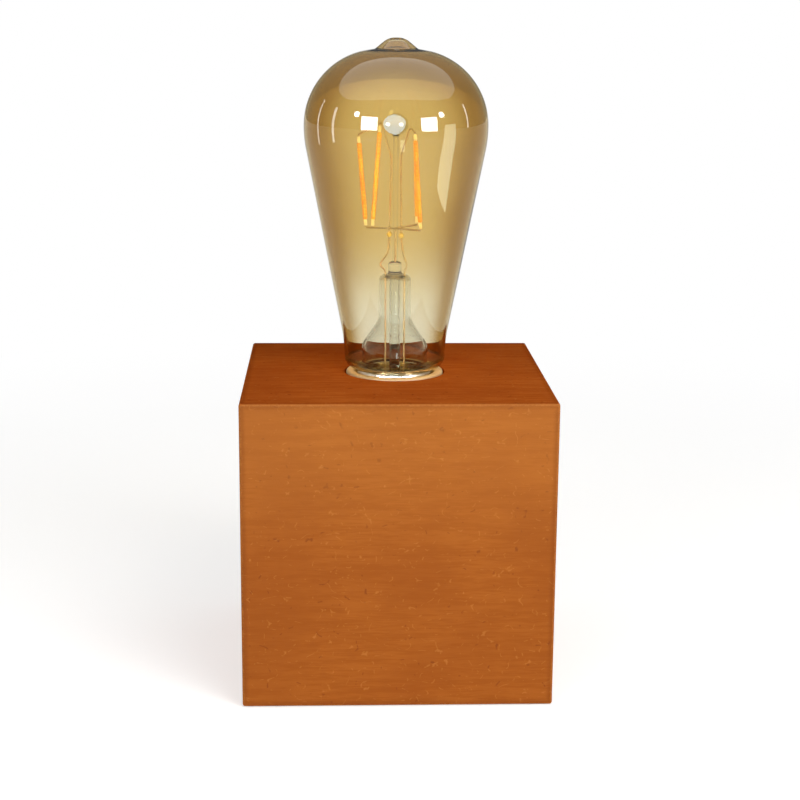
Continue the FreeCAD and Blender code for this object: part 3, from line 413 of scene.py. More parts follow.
def glass_profile():
    """Outline of the glass wall, from the tip down the outside and up the inside to the dome.

    Below the belly it is an arc of 42 mm about a point 10.25 mm across the axis, above it an arc
    of 26 mm about a point 5.75 mm from the axis, both tangent at the belly. The inner line runs
    the wall's thickness inside.
    """
    belly_radius, belly_centre = BELLY_ARC
    radius, centre = SHOULDER_ARC
    shoulder = np.radians(np.linspace(85.9, 0, 46))
    belly = np.radians(np.linspace(0, -11.2, 16))[1:]
    root = (centre + radius * math.cos(shoulder[0]), BELLY + radius * math.sin(shoulder[0]))
    tip = eased([(0, 220.8), (2.7, 220.8, 6.2), (root[0] - 0.3, root[1] + 0.15, 1.6),
                 (root[0] + 2.2, root[1] - 0.35)], steps=12)
    outer_shoulder = arc(radius, centre, shoulder)[5:]
    outer_belly = arc(belly_radius, belly_centre, belly)
    start = outer_belly[-1]
    neck = eased([tuple(start), (NECK, 115.5, 60), (NECK, 106.2, 4.6), (12.6, 106.2, 0.4),
                  (12.6, 99.0)], steps=14)[1:]
    outer = np.concatenate([tip[:-1], outer_shoulder, outer_belly, neck])
    lean = np.array([math.cos(belly[-1]), math.sin(belly[-1])]) * WALL
    inner_start = start - lean
    inner = eased([(11.7, 99.0), (11.7, 107.1, 0.5), (NECK - WALL, 107.1, 3.7),
                   (NECK - WALL, 115.6, 60), tuple(inner_start)], steps=14)
    inner_belly = arc(belly_radius - WALL, belly_centre, belly)[::-1][1:]
    inner_dome = arc(radius - WALL, centre, np.radians(np.linspace(0, 84, 44)))
    hollow = eased([tuple(inner_dome[-1]), (5.9, 216.15, 1.0), (2.5, 219.3, 2.6), (0.0, 219.45)],
                   steps=10)[1:]
    return np.concatenate([outer, inner, inner_belly, inner_dome, hollow])


def make_glass():
    """Envelope, stem with its flare and press, exhaust tube, and the rod with its button."""
    envelope = turned("bulb_glass", glass_profile(), 160, closed=False, crease=50)
    stem_outer = eased([(11.6, 99.0), (11.6, 115.0, 6), (5.6, 123.5, 9), (5.6, 139.5, 1.8),
                        (2.3, 139.5, 1.4), (2.3, 144.2, 1.1), (0, 144.2)], steps=9)
    stem_inner = eased([(0, 138.6), (4.7, 138.6, 1.2), (4.7, 123.7, 8.2), (10.7, 115.2, 6.8),
                        (10.7, 99.0)], steps=9)
    stem = turned("bulb_stem", np.concatenate([stem_outer[::-1], stem_inner[::-1]]), closed=False,
                  crease=50)
    exhaust = turned("bulb_exhaust_tube", eased([
        (1.3, 100.5, 0.25), (1.9, 100.5, 0.25), (1.9, 138.5, 0.1), (1.3, 138.5, 0.1)],
        closed=True), 32)
    ball = np.radians(np.linspace(-68, 90, 28))
    button_line = np.concatenate([[(0, 144.2)], eased([(0.9, 144.2), (0.9, 187.9, 1.2),
                                  (1.57, 188.17)], steps=6)[:-1],
                                  np.stack([4.2 * np.cos(ball), 191.6 + 3.7 * np.sin(ball)], -1)])
    button_line[-1, 0] = 0
    button = turned("bulb_button_rod", button_line, 40, closed=False, crease=60)
    return envelope, stem, exhaust, button


CAGE = {
    "left_outer_foot": (-10.2, -1.5, 50.3), "left_inner_foot": (-8.0, -1.5, 50.2),
    "cross_middle": (0.0, -1.6, 50.0), "right_front_foot": (8.8, -1.6, 49.2),
    "right_back_foot": (7.7, 1.6, 50.9), "left_outer_head": (-13.0, -2.6, 82.2),
    "left_inner_head": (-5.4, 2.2, 85.6), "right_front_head": (6.3, -3.6, 83.2),
    "right_back_head": (6.9, 3.8, 81.6), "left_knee": (-5.6, 0.0, 37.0),
    "left_waist": (-2.4, 0.0, 41.2), "left_bead": (-2.1, 0.0, 46.4),
    "left_fork": (-1.45, 0.0, 74.2), "left_crown": (-5.1, 1.8, 86.4),
    "right_knee": (4.4, 0.0, 36.4), "right_waist": (3.0, 0.0, 40.0),
    "right_bead": (2.1, 0.0, 45.8), "right_fork": (1.7, 0.0, 74.8),
    "right_crown": (4.7, -2.1, 84.6), "anchor_foot": (0.0, -1.5, 38.15),
}
CAGE = {name: np.array(place) + (0, 0, SEAT) for name, place in CAGE.items()}


def make_wires():
    """Lead wires, cross wire and anchor, each bent softly through the points of the cage."""
    made = []
    for side, sign, places in (
            ("left", -1, ("knee", "waist", "bead", "fork", "crown", "inner_head", "outer_head")),
            ("right", 1, ("knee", "waist", "bead", "fork", "crown", "front_head", "back_head"))):
        route = [np.array([sign * 3.3, 0, 97.7]), np.array([sign * 3.3, 0, 141.1])]
        route += [CAGE[f"{side}_{place}"] for place in places]
        made.append(together(f"lead_{side}_drawn", [rod(bent(route, 1.6), WIRE)], 60))
    cross = bent([CAGE[n] for n in ("left_outer_foot", "left_inner_foot", "cross_middle",
                                    "right_front_foot")], 1.2)
    branch = np.linspace(CAGE["cross_middle"], CAGE["right_back_foot"], 6)
    made.append(together("cross_wire_drawn", [rod(cross, WIRE), rod(branch, WIRE)], 60))
    anchor = np.linspace(CAGE["anchor_foot"], CAGE["cross_middle"] - (0, 0, 0.3), 8)
    made.append(together("anchor_wire_drawn", [rod(anchor, WIRE)], 60))
    beads = []
    for side in ("left", "right"):
        foot, ahead = CAGE[side + "_bead"], CAGE[side + "_fork"]
        along = (ahead - foot) / np.linalg.norm(ahead - foot)
        share = np.linspace(0, 1, 15)
        path = foot + along * (0.4 + 1.9 * share[:, None])
        swell = 0.95 * np.sqrt(np.maximum(1 - ((share - 0.5) / 0.5) ** 2 * 0.86, 0))
        beads.append(rod(path, np.maximum(swell, 0.36), 20))
    made.append(together("wire_beads_fused", beads, 60))
    return made


def make_filaments():
    """Four coated strips, each with rounded ends, and the metal tabs welded to the wires."""
    made, tabs = {}, []
    for name in ("left_outer", "left_inner", "right_front", "right_back"):
        foot, head = CAGE[name + "_foot"], CAGE[name + "_head"]
        length = np.linalg.norm(head - foot)
        along = (head - foot) / length
        clear = TAB_GAP + 2 * TAB_HALF
        share = np.concatenate([np.linspace(0, 0.02, 5), np.linspace(0.03, 0.97, 24),
                                np.linspace(0.98, 1, 5)])
        path = foot + along * (clear + (length - 2 * clear) * share[:, None])
        close = np.minimum(share, 1 - share) / 0.02
        size = 0.8 * np.sqrt(1 - (1 - np.clip(close, 0, 1)) ** 2 * 0.75)
        made[name] = together(f"filament_{name}_coated", [rod(path, size, 20, (0.1, 0.9, 0.3))], 60)
        across = np.cross(along, (0, 1, 0))
        across /= np.linalg.norm(across)
        other = np.cross(along, across)
        turn = np.stack([across, other, along], 1)
        for middle in (foot + along * (TAB_GAP + TAB_HALF), head - along * (TAB_GAP + TAB_HALF)):
            tabs.append(box_shell(middle, (0.55, 0.175, TAB_HALF), turn, 0.08))
    made["tabs"] = together("filament_tabs_stamped", tabs, 40)
    return made


def make_cap():
    """Screw cap with its rolled thread and turned-in end."""
    rings, faces = threaded(13.2, 86.4, 104.2, 2.0, 3.2, 1.05)
    sides = rings.shape[1]
    turn = np.linspace(0, 2 * math.pi, sides, endpoint=False)

    def circle(radius, height):
        return np.stack([radius * np.cos(turn), radius * np.sin(turn), 0 * turn + height], -1)

    half = len(rings) // 2
    outside, inside = rings[:half], rings[half:]
    foot = [circle(r, h) for r, h in ((12.9, 85.6), (12.2, 85.1), (11.4, 84.75), (10.9, 84.62),
                                      (10.5, 84.6), (10.5, 85.0), (11.2, 85.15), (12.0, 85.5),
                                      (12.55, 85.95))]
    top = [circle(13.2, 105.0), circle(13.15, 105.9), circle(13.0, 106.0), circle(12.8, 105.9),
           circle(12.8, 105.0)]
    whole = np.concatenate([outside, top, inside, np.array(foot[::-1])])
    return piece("bulb_cap_rolled", whole, quads(len(whole), sides, True, True), 55.0)


# ---- finishes


def node(tree, kind, into=None, **settings):
    """Add a shader node; values and links for its inputs come in the dictionary into."""
    made = tree.nodes.new(kind)
    for name, setting in settings.items():
        setattr(made, name, setting)
    for name, given in (into or {}).items():
        socket = made.inputs[name]
        if isinstance(given, bpy.types.NodeSocket):
            tree.links.new(given, socket)
        else:
            socket.default_value = given
    return made


def effect(name, inputs, outputs):
    """An empty node group with named inputs (name, kind, value) and outputs (name, kind)."""
    group = bpy.data.node_groups.new(name, "ShaderNodeTree")
    for label, kind, value in inputs:
        socket = group.interface.new_socket(label, in_out="INPUT", socket_type="NodeSocket" + kind)
        if value is not None:
            socket.default_value = value
    for label, kind in outputs:
        group.interface.new_socket(label, in_out="OUTPUT", socket_type="NodeSocket" + kind)
    return group, group.nodes.new("NodeGroupInput"), group.nodes.new("NodeGroupOutput")


def linear(red, green, blue):
    """The scene's colour for a colour given in screen values of 0 to 255."""
    return tuple(((v / 255 + 0.055) / 1.055) ** 2.4 if v > 10 else v / 255 / 12.92
                 for v in (red, green, blue)) + (1.0,)


def math_node(tree, operation, *given):
    """One arithmetic node; each operand is a number or a socket."""
    return node(tree, "ShaderNodeMath", dict(enumerate(given)), operation=operation).outputs[0]


def times(tree, first, second):
    """The product of two numbers or sockets."""
    return math_node(tree, "MULTIPLY", first, second)


def plus(tree, first, second):
    """The sum of two numbers or sockets."""
    return math_node(tree, "ADD", first, second)


def inverse(tree, share):
    """One less the share."""
    return math_node(tree, "SUBTRACT", 1.0, share)


def scaled(tree, vector, factors):
    """A vector with each part times its own factor."""
    return node(tree, "ShaderNodeVectorMath", {0: vector, 1: factors},
                operation="MULTIPLY").outputs[0]


def blend(tree, share, *colours):
    """Mix two colours by a share; each is a socket or screen values of 0 to 255."""
    into = {slot: linear(*colour) if isinstance(colour, tuple) else colour
            for slot, colour in zip((6, 7), colours)}
    return node(tree, "ShaderNodeMix", {0: share, **into}, data_type="RGBA").outputs[2]


def noise(tree, vector, scale, detail=3.0, roughness=0.5):
    """A noise value between 0 and 1 over a vector."""
    return node(tree, "ShaderNodeTexNoise", {"Vector": vector, "Scale": scale, "Detail": detail,
                                             "Roughness": roughness}).outputs["Fac"]


def in_view(tree, path, gloss):
    """How much of a light is seen: all by the camera, also through glass, and gloss by gloss."""
    return math_node(tree, "MAXIMUM", path.outputs["Is Camera Ray"], math_node(
        tree, "MAXIMUM", gloss, path.outputs["Is Transmission Ray"]))


def ramp(tree, share, low, high):
    """Share taken from low..high to 0..1, clamped and smooth."""
    made = node(tree, "ShaderNodeMapRange", {"Value": share, "From Min": low, "From Max": high},
                interpolation_type="SMOOTHSTEP")
    return made.outputs["Result"]


def make_effects():
    """The effects that several finishes share: fibre, fine grain, cloudiness and brushing."""
    made = {}

    group, given, out = effect("sanded_fibre", [("Vector", "Vector", None)], [
        ("Streaks", "Float"), ("Dark Flecks", "Float"), ("Light Flecks", "Float"),
        ("Height", "Float")])
    stretch = scaled(group, given.outputs["Vector"], (0.09, 0.09, 1.0))
    wide = noise(group, stretch, 420.0, 4.0, 0.62)
    fine = noise(group, stretch, 1900.0, 2.0, 0.5)
    group.links.new(plus(group, times(group, wide, 0.65), times(group, fine, 0.35)),
                    out.inputs["Streaks"])
    short = scaled(group, given.outputs["Vector"], (0.7, 0.7, 1.0))
    warp = node(group, "ShaderNodeTexNoise", {"Vector": given.outputs["Vector"], "Scale": 70.0})
    bend = scaled(group, warp.outputs["Color"], (0.004, 0.004, 0.004))
    skewed = node(group, "ShaderNodeVectorMath", {0: short, 1: bend})
    for label, scale, thin, low, high in (("Dark Flecks", 190.0, 0.034, 0.60, 0.66),
                                          ("Light Flecks", 330.0, 0.030, 0.53, 0.62)):
        # A fibre is where one noise is near its middle and another, twice as fine, is high.
        ridge = math_node(group, "ABSOLUTE", math_node(
            group, "SUBTRACT", noise(group, skewed.outputs[0], scale, 0.0, 0.4), 0.5))
        line = inverse(group, ramp(group, ridge, 0.0, thin))
        where = ramp(group, noise(group, given.outputs["Vector"], scale * 2.1, 1.0, 0.5), low, high)
        group.links.new(times(group, line, where), out.inputs[label])
    nap = noise(group, given.outputs["Vector"], 2600.0, 2.0, 0.6)
    group.links.new(plus(group, times(group, nap, 0.6), times(group, fine, 0.4)),
                    out.inputs["Height"])
    made["fibre"] = group

    group, given, out = effect("fine_grain", [
        ("Vector", "Vector", None), ("Scale", "Float", 900.0), ("Cloud Scale", "Float", 60.0)],
        [("Grain", "Float"), ("Clouds", "Float")])
    for label, source, detail in (("Grain", "Scale", 3.0), ("Clouds", "Cloud Scale", 4.0)):
        spots = noise(group, given.outputs["Vector"], given.outputs[source], detail)
        group.links.new(spots, out.inputs[label])
    made["grain"] = group

    group, given, out = effect("drawn_metal", [
        ("Vector", "Vector", None), ("Across", "Vector", (1.0, 1.0, 30.0)),
        ("Scale", "Float", 200.0)],
        [("Lines", "Float"), ("Tarnish", "Float")])
    stretched = scaled(group, given.outputs["Vector"], given.outputs["Across"])
    lines = noise(group, stretched, given.outputs["Scale"], 4.0)
    group.links.new(lines, out.inputs["Lines"])
    stain = noise(group, given.outputs["Vector"], 110.0, 5.0, 0.6)
    group.links.new(ramp(group, stain, 0.42, 0.7), out.inputs["Tarnish"])
    made["metal"] = group
    return made


EFFECTS = make_effects()


def finish(name, **fixed):
    """A new material with its output, a Principled shader and Object coordinates.

    What is the same all over the surface is set on the shader's own sockets.
    """
    material = bpy.data.materials.new(name)
    material.use_nodes = True
    tree = material.node_tree
    tree.nodes.clear()
    out = tree.nodes.new("ShaderNodeOutputMaterial")
    shader = tree.nodes.new("ShaderNodeBsdfPrincipled")
    tree.links.new(shader.outputs[0], out.inputs[0])
    for label, value in fixed.items():
        shader.inputs[label.replace("_", " ")].default_value = value
    place = tree.nodes.new("ShaderNodeTexCoord").outputs["Object"]
    return material, tree, shader, place, out


def placed(tree, which, vector, **into):
    """One of the shared effects in a material, with its own values."""
    made = tree.nodes.new("ShaderNodeGroup")
    made.node_tree = EFFECTS[which]
    tree.links.new(vector, made.inputs["Vector"])
    for name, value in into.items():
        made.inputs[name.replace("_", " ")].default_value = value
    return made.outputs


def surface(tree, shader, colour, rough, height, strength, depth):
    """Feed the shader's colour and roughness, and a height into its normal."""
    made = node(tree, "ShaderNodeBump", {"Height": height, "Strength": strength, "Distance": depth})
    tree.links.new(made.outputs[0], shader.inputs["Normal"])
    tree.links.new(colour, shader.inputs["Base Color"])
    tree.links.new(rough, shader.inputs["Roughness"])


def stained(name, upright, wood, dark, light, sheen):
    """Stained fibre board: lengthwise streaks, short dark and pale fibres, darker towards the edges
    with a painted highlight on their rounding, painted light high on the walls and painted shade at
    the top's back.
    """
    material, tree, shader, place, _ = finish(name, Specular_IOR_Level=sheen)
    vector = place
    if not upright:
        turn = node(tree, "ShaderNodeMapping", {"Vector": place, "Rotation": (math.pi / 2, 0, 0)})
        vector = turn.outputs[0]
    fibre = placed(tree, "fibre", vector)
    cloud = placed(tree, "grain", place, Scale=1500.0, Cloud_Scale=34.0)
    colour = blend(tree, ramp(tree, fibre["Streaks"], 0.40, 0.60), wood[0], wood[1])
    colour = blend(tree, times(tree, ramp(tree, cloud["Clouds"], 0.35, 0.7), 0.55), colour, wood[2])
    colour = blend(tree, times(tree, fibre["Dark Flecks"], 0.6), colour, dark)
    colour = blend(tree, times(tree, fibre["Light Flecks"], 0.32), colour, light)
    spread = node(tree, "ShaderNodeSeparateXYZ", {0: place})
    # Painted light and shade: the walls turn paler towards their top, and the top board darker
    # towards its back, for the way the lamps fall off. The light and dark colours serve both the
    # pale and dark fibres and this painted light and shade.
    painted_light_high_up = times(tree, ramp(tree, spread.outputs["Z"], 0.045, 0.1), 0.2)
    painted_shade_far_back = times(tree, ramp(tree, spread.outputs["Y"], -0.03, 0.05), 0.35)
    colour = blend(tree, painted_light_high_up if upright else painted_shade_far_back, colour, light if upright else dark)
    # How near the cube's edges a point is: the second largest of its distances from the middle.
    centred = node(tree, "ShaderNodeVectorMath", {0: place, 1: (0, 0, -0.0525)})
    away = node(tree, "ShaderNodeVectorMath", {0: centred.outputs[0]}, operation="ABSOLUTE")
    split = node(tree, "ShaderNodeSeparateXYZ", {0: away.outputs[0]})
    x, y, z = (split.outputs[axis] for axis in "XYZ")
    low = math_node(tree, "MINIMUM", math_node(tree, "MINIMUM", x, y), z)
    high = math_node(tree, "MAXIMUM", math_node(tree, "MAXIMUM", x, y), z)
    total = plus(tree, plus(tree, x, y), z)
    second = math_node(tree, "SUBTRACT", total, plus(tree, low, high))
    ragged = times(tree, math_node(tree, "SUBTRACT", cloud["Grain"], 0.5), 0.0012)
    second = plus(tree, second, ragged)
    # The colour grows darker within about 3 mm of each edge. On the outermost rounding a painted
    # highlight pales it again.
    band = ramp(tree, second, 0.0498, 0.0516)
    crown = ramp(tree, second, 0.05165, 0.0522)
    colour = blend(tree, times(tree, band, 0.30), colour, dark)
    colour = blend(tree, times(tree, crown, 0.30), colour, light)
    rough = plus(tree, times(tree, cloud["Grain"], 0.18), 0.46)
    surface(tree, shader, colour, rough, fibre["Height"], 0.35, 0.00012)
    return material


def plain_wood(name, colour, streak, across=(0.06, 1.0, 1.0)):
    """Unstained wood or board, with a soft lengthwise grain."""
    material, tree, shader, place, _ = finish(name)
    lines = placed(tree, "metal", place, Across=across, Scale=520.0)
    grain = placed(tree, "grain", place, Scale=1800.0, Cloud_Scale=70.0)
    mixed = blend(tree, ramp(tree, lines["Lines"], 0.35, 0.7), colour, streak)
    mixed = blend(tree, times(tree, grain["Clouds"], 0.25), mixed, streak)
    rough = plus(tree, times(tree, grain["Grain"], 0.2), 0.6)
    surface(tree, shader, mixed, rough, grain["Grain"], 0.3, 0.0001)
    return material


def moulded(name, colour, shade, rough, depth=0.00004, level=0.5):
    """Moulded or glazed surface: faint clouds in the colour, fine texture in gloss and relief."""
    material, tree, shader, place, _ = finish(name, Specular_IOR_Level=level)
    grain = placed(tree, "grain", place, Scale=1400.0, Cloud_Scale=90.0)
    mixed = blend(tree, ramp(tree, grain["Clouds"], 0.35, 0.7), colour, shade)
    gloss = plus(tree, times(tree, grain["Grain"], 0.14), rough - 0.07)
    surface(tree, shader, mixed, gloss, grain["Grain"], 0.25, depth)
    return material


def metal(name, colour, tarnish, rough, across=(1.0, 1.0, 30.0), scale=200.0):
    """Rolled, drawn or plated metal: fine lines in the gloss, a little tarnish in the colour."""
    material, tree, shader, place, _ = finish(name, Metallic=1.0)
    worked = placed(tree, "metal", place, Across=across, Scale=scale)
    mixed = blend(tree, times(tree, worked["Tarnish"], 0.55), colour, tarnish)
    gloss = plus(tree, times(tree, worked["Lines"], 0.22), rough - 0.11)
    gloss = plus(tree, gloss, times(tree, worked["Tarnish"], 0.1))
    surface(tree, shader, mixed, gloss, worked["Lines"], 0.15, 0.00003)
    return material


def glass(name, tint, edge, foot):
    """Clear or coated glass: deeper where it is seen edge on, paler at the foot of the neck.

    Shadow rays pass, tinted by the square root at each of a wall's two faces.
    """
    material, tree, shader, place, out = finish(
        name, Transmission_Weight=1.0, Roughness=0.0, IOR=1.45)
    slope = node(tree, "ShaderNodeLayerWeight", {"Blend": 0.5})
    cloud = placed(tree, "grain", place, Scale=300.0, Cloud_Scale=24.0)
    uneven = times(tree, math_node(tree, "SUBTRACT", cloud["Clouds"], 0.5), 0.22)
    deep = ramp(tree, plus(tree, slope.outputs["Facing"], uneven), 0.02, 0.5)
    colour = blend(tree, deep, tint, edge)
    split = node(tree, "ShaderNodeSeparateXYZ", {0: place})
    height = plus(tree, split.outputs["Z"], times(tree, uneven, 0.03))
    thin = inverse(tree, ramp(tree, height, 0.118, 0.160))
    middle = inverse(tree, ramp(tree, slope.outputs["Facing"], 0.1, 0.6))
    thin = times(tree, thin, times(tree, middle, 0.9))
    colour = blend(tree, thin, colour, foot)
    tree.links.new(colour, shader.inputs["Base Color"])
    root = tuple(math.sqrt(channel) for channel in linear(*tint))
    clear = node(tree, "ShaderNodeBsdfTransparent", {"Color": root})
    path = node(tree, "ShaderNodeLightPath")
    mixed = node(tree, "ShaderNodeMixShader", {0: path.outputs["Is Shadow Ray"],
                                               1: shader.outputs[0], 2: clear.outputs[0]})
    tree.links.new(mixed.outputs[0], out.inputs[0])
    return material


def coated_filament(name):
    """Silicone with phosphor: yellow to orange, in the faint rhythm of the chips below it."""
    material, tree, shader, place, _ = finish(
        name, Subsurface_Weight=0.25, Subsurface_Radius=(0.0012, 0.0007, 0.0002),
        Subsurface_Scale=1.0)
    grain = placed(tree, "grain", place, Scale=2200.0, Cloud_Scale=240.0)
    split = node(tree, "ShaderNodeSeparateXYZ", {0: place})
    chips = math_node(tree, "SINE", times(tree, split.outputs["Z"], 5200.0))
    chips = plus(tree, times(tree, chips, 0.10), grain["Clouds"])
    colour = blend(tree, ramp(tree, chips, 0.3, 0.75), (255, 204, 44), (255, 166, 16))
    rough = plus(tree, times(tree, grain["Grain"], 0.2), 0.3)
    surface(tree, shader, colour, rough, grain["Grain"], 0.2, 0.00005)
    return material


def make_finishes():
    """Every finish of the lamp under its name, with its colours as screen values."""
    side_wood = ((162, 85, 20), (173, 95, 28), (154, 78, 17))
    # The top board's stain, and its dark and pale fibre colours, are a darker, redder copy of the
    # walls' stain: painted shade of the less lit top face.
    top_wood_painted_shade = ((160, 76, 22), (176, 90, 32), (150, 66, 18))
    rows = (
        ("stained_board", stained, True, side_wood, (120, 54, 14), (212, 140, 62), 0.05),
        ("stained_board_top", stained, False, top_wood_painted_shade, (108, 44, 12), (190, 116, 56), 0.0),
        ("plain_board", plain_wood, (176, 142, 104), (150, 116, 80), (1.0, 0.2, 1.0)),
        ("glue_block", plain_wood, (214, 182, 136), (184, 144, 96), (1.0, 1.0, 0.06)),
        ("zinc_steel", metal, (200, 203, 207), (150, 150, 146), 0.34),
        ("black_rubber", moulded, (38, 37, 36), (52, 50, 48), 0.72, 0.0001),
        ("ivory_holder", moulded, (216, 178, 124), (204, 164, 108), 0.4, 0.00004, 0.3),
        ("black_plastic", moulded, (36, 36, 38), (26, 26, 27), 0.42),
        ("white_ceramic", moulded, (236, 232, 222), (226, 219, 205), 0.22),
        ("brass", metal, (222, 186, 112), (168, 124, 62), 0.26),
        ("plated_screw", metal, (206, 206, 204), (160, 158, 150), 0.3, (1.0, 1.0, 60.0), 400.0),
        ("nickel_cap", metal, (214, 211, 204), (170, 160, 142), 0.24, (1.0, 1.0, 26.0)),
        ("black_glass", moulded, (22, 20, 22), (34, 30, 34), 0.12, 0.00002),
        ("solder", metal, (196, 196, 192), (148, 146, 138), 0.4, (1.0, 1.0, 1.0)),
        ("amber_glass", glass, (232, 212, 158), (180, 148, 86), (244, 241, 226)),
        ("clear_glass", glass, (252, 252, 250), (236, 240, 238), (250, 251, 250)),
        ("yellow_bead", moulded, (242, 226, 150), (234, 210, 120), 0.18),
        ("nickel_wire", metal, (196, 178, 150), (176, 120, 84), 0.3, (1.0, 1.0, 4.0), 900.0),
        ("filament_coating", coated_filament),
        ("filament_tab", metal, (236, 230, 214), (206, 190, 160), 0.3, (1.0, 1.0, 20.0), 900.0),
        ("circuit_board", moulded, (40, 96, 56), (30, 78, 44), 0.34),
        ("capacitor_can", metal, (178, 180, 184), (140, 140, 142), 0.3),
        ("black_package", moulded, (34, 34, 35), (44, 44, 45), 0.5),
    )
    return {name: make(name, *values) for name, make, *values in rows}


# ---- put the lamp together


def dress(made, finish_name, body, *nodes, slot=None):
    """Give a piece its finish and its body, and hide the CAD nodes that it stands for. Slot is not
    used.
    """
    made.data.materials.clear()
    made.data.materials.append(FINISHES[finish_name])
    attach(made, body)
    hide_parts(*nodes)


FINISHES = make_finishes()

for cad_name, thing in frame["nodes"].items():
    slot = next(row["material_slot"] for row in frame["record"]["subparts"]
                if row["node"] == cad_name)
    thing.data.materials.clear()
    thing.data.materials.append(FINISHES[slot])

for place, thing in make_boards().items():
    dress(thing, "stained_board_top" if place == "top" else "stained_board", "base",
          place + "_board", slot="stained_board")

made = (*make_holder(), *make_glass(), make_cap(), *make_wires())
for thing, row in zip(made, (
        ("ivory_holder", "base", "holder_sleeve"), ("brass", "base", "screw_shell"),
        ("black_plastic", "base", "holder_cup"), ("amber_glass", "bulb", "glass_envelope"),
        ("clear_glass", "bulb", "stem"), ("clear_glass", "bulb", "exhaust_tube"),
        ("clear_glass", "bulb", "button_rod"), ("nickel_cap", "bulb", "bulb_cap"),
        ("nickel_wire", "bulb", "lead_wire_left"), ("nickel_wire", "bulb", "lead_wire_right"),
        ("nickel_wire", "bulb", "cross_wire"), ("nickel_wire", "bulb", "anchor_wire"),
        ("yellow_bead", "bulb", "wire_beads"))):
    dress(thing, *row)

strips = make_filaments()
dress(strips.pop("tabs"), "filament_tab", "bulb", "filament_tabs")
for place, thing in strips.items():
    dress(thing, "filament_coating", "bulb", "filament_" + place)


# ---- floor, light and camera


def make_floor():
    """A wide pale floor. It keeps the lamp's shadow and otherwise shows white."""
    mesh = bpy.data.meshes.new("pale_floor")
    turn = np.linspace(0, 2 * math.pi, 96, endpoint=False)
    ring = np.stack([14 * np.cos(turn), 14 * np.sin(turn), 0 * turn - 0.0003], -1)
    mesh.from_pydata(ring.tolist(), [], [list(range(96))])
    floor = bpy.data.objects.new("pale_floor", mesh)
    bpy.context.scene.collection.objects.link(floor)
    material, tree, shader, place, out = finish("pale_floor", Roughness=0.9, Specular_IOR_Level=0.0)
    soft = noise(tree, place, 3.0, 2.0)
    shade = blend(tree, soft, (232, 231, 229), (236, 235, 233))
    tree.links.new(shade, shader.inputs["Base Color"])
    path = node(tree, "ShaderNodeLightPath")
    seen = in_view(tree, path, times(tree, path.outputs["Is Glossy Ray"], 0.15))
    glow = node(tree, "ShaderNodeEmission", {"Color": (1, 1, 1, 1),
                                             "Strength": times(tree, seen, 0.5)})
    both = node(tree, "ShaderNodeAddShader", {0: shader.outputs[0], 1: glow.outputs[0]})
    reach = node(tree, "ShaderNodeVectorMath", {0: place}, operation="LENGTH")
    far = times(tree, seen, ramp(tree, reach.outputs["Value"], 0.16, 0.6))
    white = node(tree, "ShaderNodeEmission", {"Color": (1, 1, 1, 1), "Strength": 1.0})
    whole = node(tree, "ShaderNodeMixShader", {0: far, 1: both.outputs[0], 2: white.outputs[0]})
    tree.links.new(whole.outputs[0], out.inputs[0])
    mesh.materials.append(material)


def make_world():
    """White wherever the camera looks past the lamp, also through glass, and dim as a light."""
    world = bpy.data.worlds.new("studio")
    bpy.context.scene.world = world
    world.use_nodes = True
    tree = world.node_tree
    tree.nodes.clear()
    path = node(tree, "ShaderNodeLightPath")
    toward = node(tree, "ShaderNodeSeparateXYZ", {0: node(tree, "ShaderNodeTexCoord").outputs[0]})
    behind = ramp(tree, toward.outputs["Y"], 0.975, 0.998)
    above = times(tree, ramp(tree, toward.outputs["Z"], 0.25, 0.95), 0.6)
    glossy = path.outputs["Is Glossy Ray"]
    gloss = times(tree, glossy, math_node(tree, "MAXIMUM", behind, above))
    dim = math_node(tree, "SUBTRACT", 0.4, times(tree, glossy, 0.25))
    light = plus(tree, dim, times(tree, in_view(tree, path, gloss), 0.6))
    back = node(tree, "ShaderNodeBackground", {"Color": (1, 1, 1, 1), "Strength": light})
    out = tree.nodes.new("ShaderNodeOutputWorld")
    tree.links.new(back.outputs[0], out.inputs[0])


def lamp(name, bearing, rise, distance, width, height, watts, aim=(0, 0, 0.14), shows="fill",
         disc=False, colour=(1, 1, 1)):
    """A soft light that looks at the bulb; bearing 0 is the camera's side, 90 the right.

    Shows is "fill" for one that no gloss mirrors, "mirror" for one that only gloss shows, or
    "inside" for one that only shows in what stands within the glass.
    """
    data = bpy.data.lights.new(name, "AREA")
    data.shape = "ELLIPSE" if disc else "RECTANGLE"
    data.size, data.size_y, data.energy, data.color = width, height, watts, colour
    made = bpy.data.objects.new(name, data)
    bpy.context.scene.collection.objects.link(made)
    a, b = math.radians(bearing - 90), math.radians(rise)
    out = np.array([math.cos(a) * math.cos(b), math.sin(a) * math.cos(b), math.sin(b)])
    right = np.cross((0, 0, 1), out)
    right /= np.linalg.norm(right)
    up = np.cross(out, right)
    turn = Matrix(np.stack([right, up, out], 1).tolist()).to_4x4()
    made.matrix_world = Matrix.Translation(np.array(aim) + out * distance) @ turn
    made.visible_camera = False
    made.visible_diffuse = shows == "fill"
    made.visible_glossy = shows == "mirror"
    made.visible_transmission = shows == "inside"


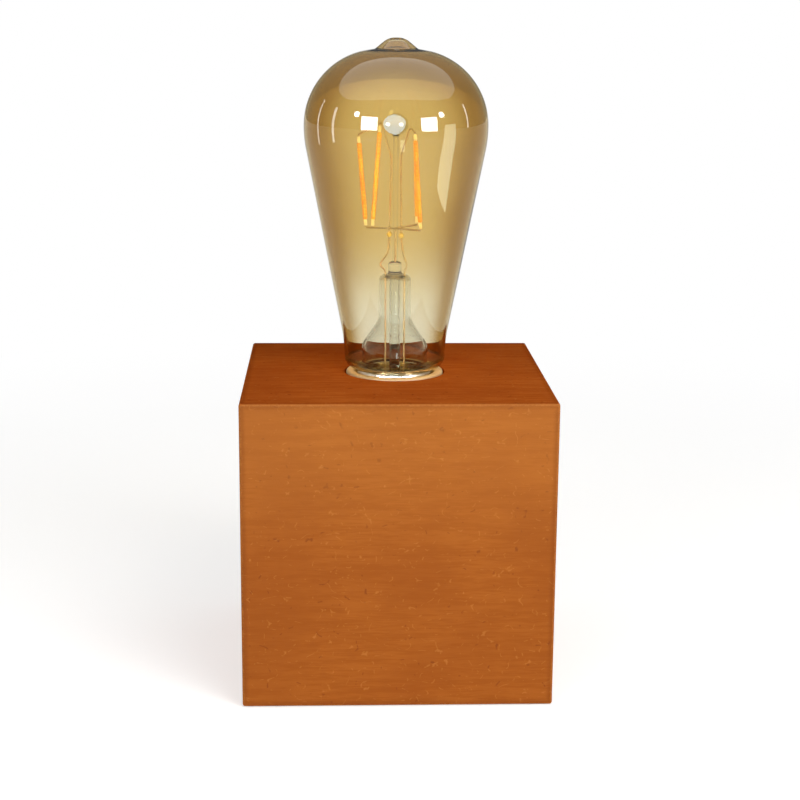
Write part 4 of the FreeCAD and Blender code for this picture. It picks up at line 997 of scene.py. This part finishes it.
def make_lights():
    """Soft boxes in front, rim strips at the sides, and broad fill that no gloss mirrors."""
    mirror, inside = {"shows": "mirror"}, {"shows": "inside", "colour": (0.55, 0.75, 1.0)}
    lamp("fill_left", -36, 14, 1.2, 0.6, 0.6, 3.5)
    lamp("fill_right", 42, 14, 1.2, 0.6, 0.6, 4.6)
    lamp("fill_above", 24, 50, 0.5, 0.24, 0.24, 0.95, aim=(0.02, -0.04, 0.10))
    lamp("box_left", -35, 10, 1.3, 0.47, 0.42, 22.0, **mirror)
    lamp("box_right", 39, 9, 1.3, 0.47, 0.42, 22.0, **mirror)
    lamp("round_left", -53, 21, 1.2, 0.15, 0.15, 2.4, disc=True, **mirror)
    lamp("round_right", 57, 20, 1.2, 0.15, 0.15, 2.4, disc=True, **mirror)
    lamp("strip_right", 66, -25, 0.42, 0.14, 0.60, 1.7, colour=(0.9, 0.95, 0.72), **mirror)
    lamp("rim_right", 95, 16, 0.5, 0.02, 0.2, 0.1, **mirror)
    lamp("rim_left", -84, 10, 0.5, 0.03, 0.3, 0.25, **mirror)
    lamp("edge_left", -112, 10, 0.5, 0.02, 0.3, 0.12, **mirror)
    lamp("round_middle", -4, 10, 1.3, 0.62, 0.62, 11.5, disc=True, colour=(0.5, 0.78, 1.0),
         **mirror)
    lamp("spark_left", -12, 10, 1.2, 0.11, 0.11, 0.9, disc=True, **mirror)
    lamp("spark_right", 4, 10, 1.2, 0.11, 0.11, 0.9, disc=True, **mirror)
    lamp("sky", 0, 86, 1.5, 4.2, 2.6, 46.0, disc=True, colour=(0.95, 1.0, 1.0), **mirror)
    lamp("window", 6, -12, 0.5, 0.05, 0.12, 0.25, **inside)


def make_camera():
    """The photograph's view: a little above the lamp and in front of it."""
    data = bpy.data.cameras.new("view")
    data.sensor_width = 36.0
    data.lens = 1695.0 / 800.0 * 36.0
    data.clip_start, data.clip_end = 0.01, 60.0
    camera = bpy.data.objects.new("view", data)
    bpy.context.scene.collection.objects.link(camera)
    yaw, pitch, roll = math.radians(-2.30), math.radians(12.89), math.radians(0.43)
    camera.matrix_world = (Matrix.Translation((-0.0216, -0.589, 0.2292))
                           @ Matrix.Rotation(yaw, 4, "Z")
                           @ Matrix.Rotation(math.pi / 2 - pitch, 4, "X")
                           @ Matrix.Rotation(roll, 4, "Z"))
    bpy.context.scene.camera = camera


make_floor()
make_world()
make_lights()
make_camera()
bpy.context.scene.view_settings.view_transform = "Standard"

bpy.context.view_layer.update()
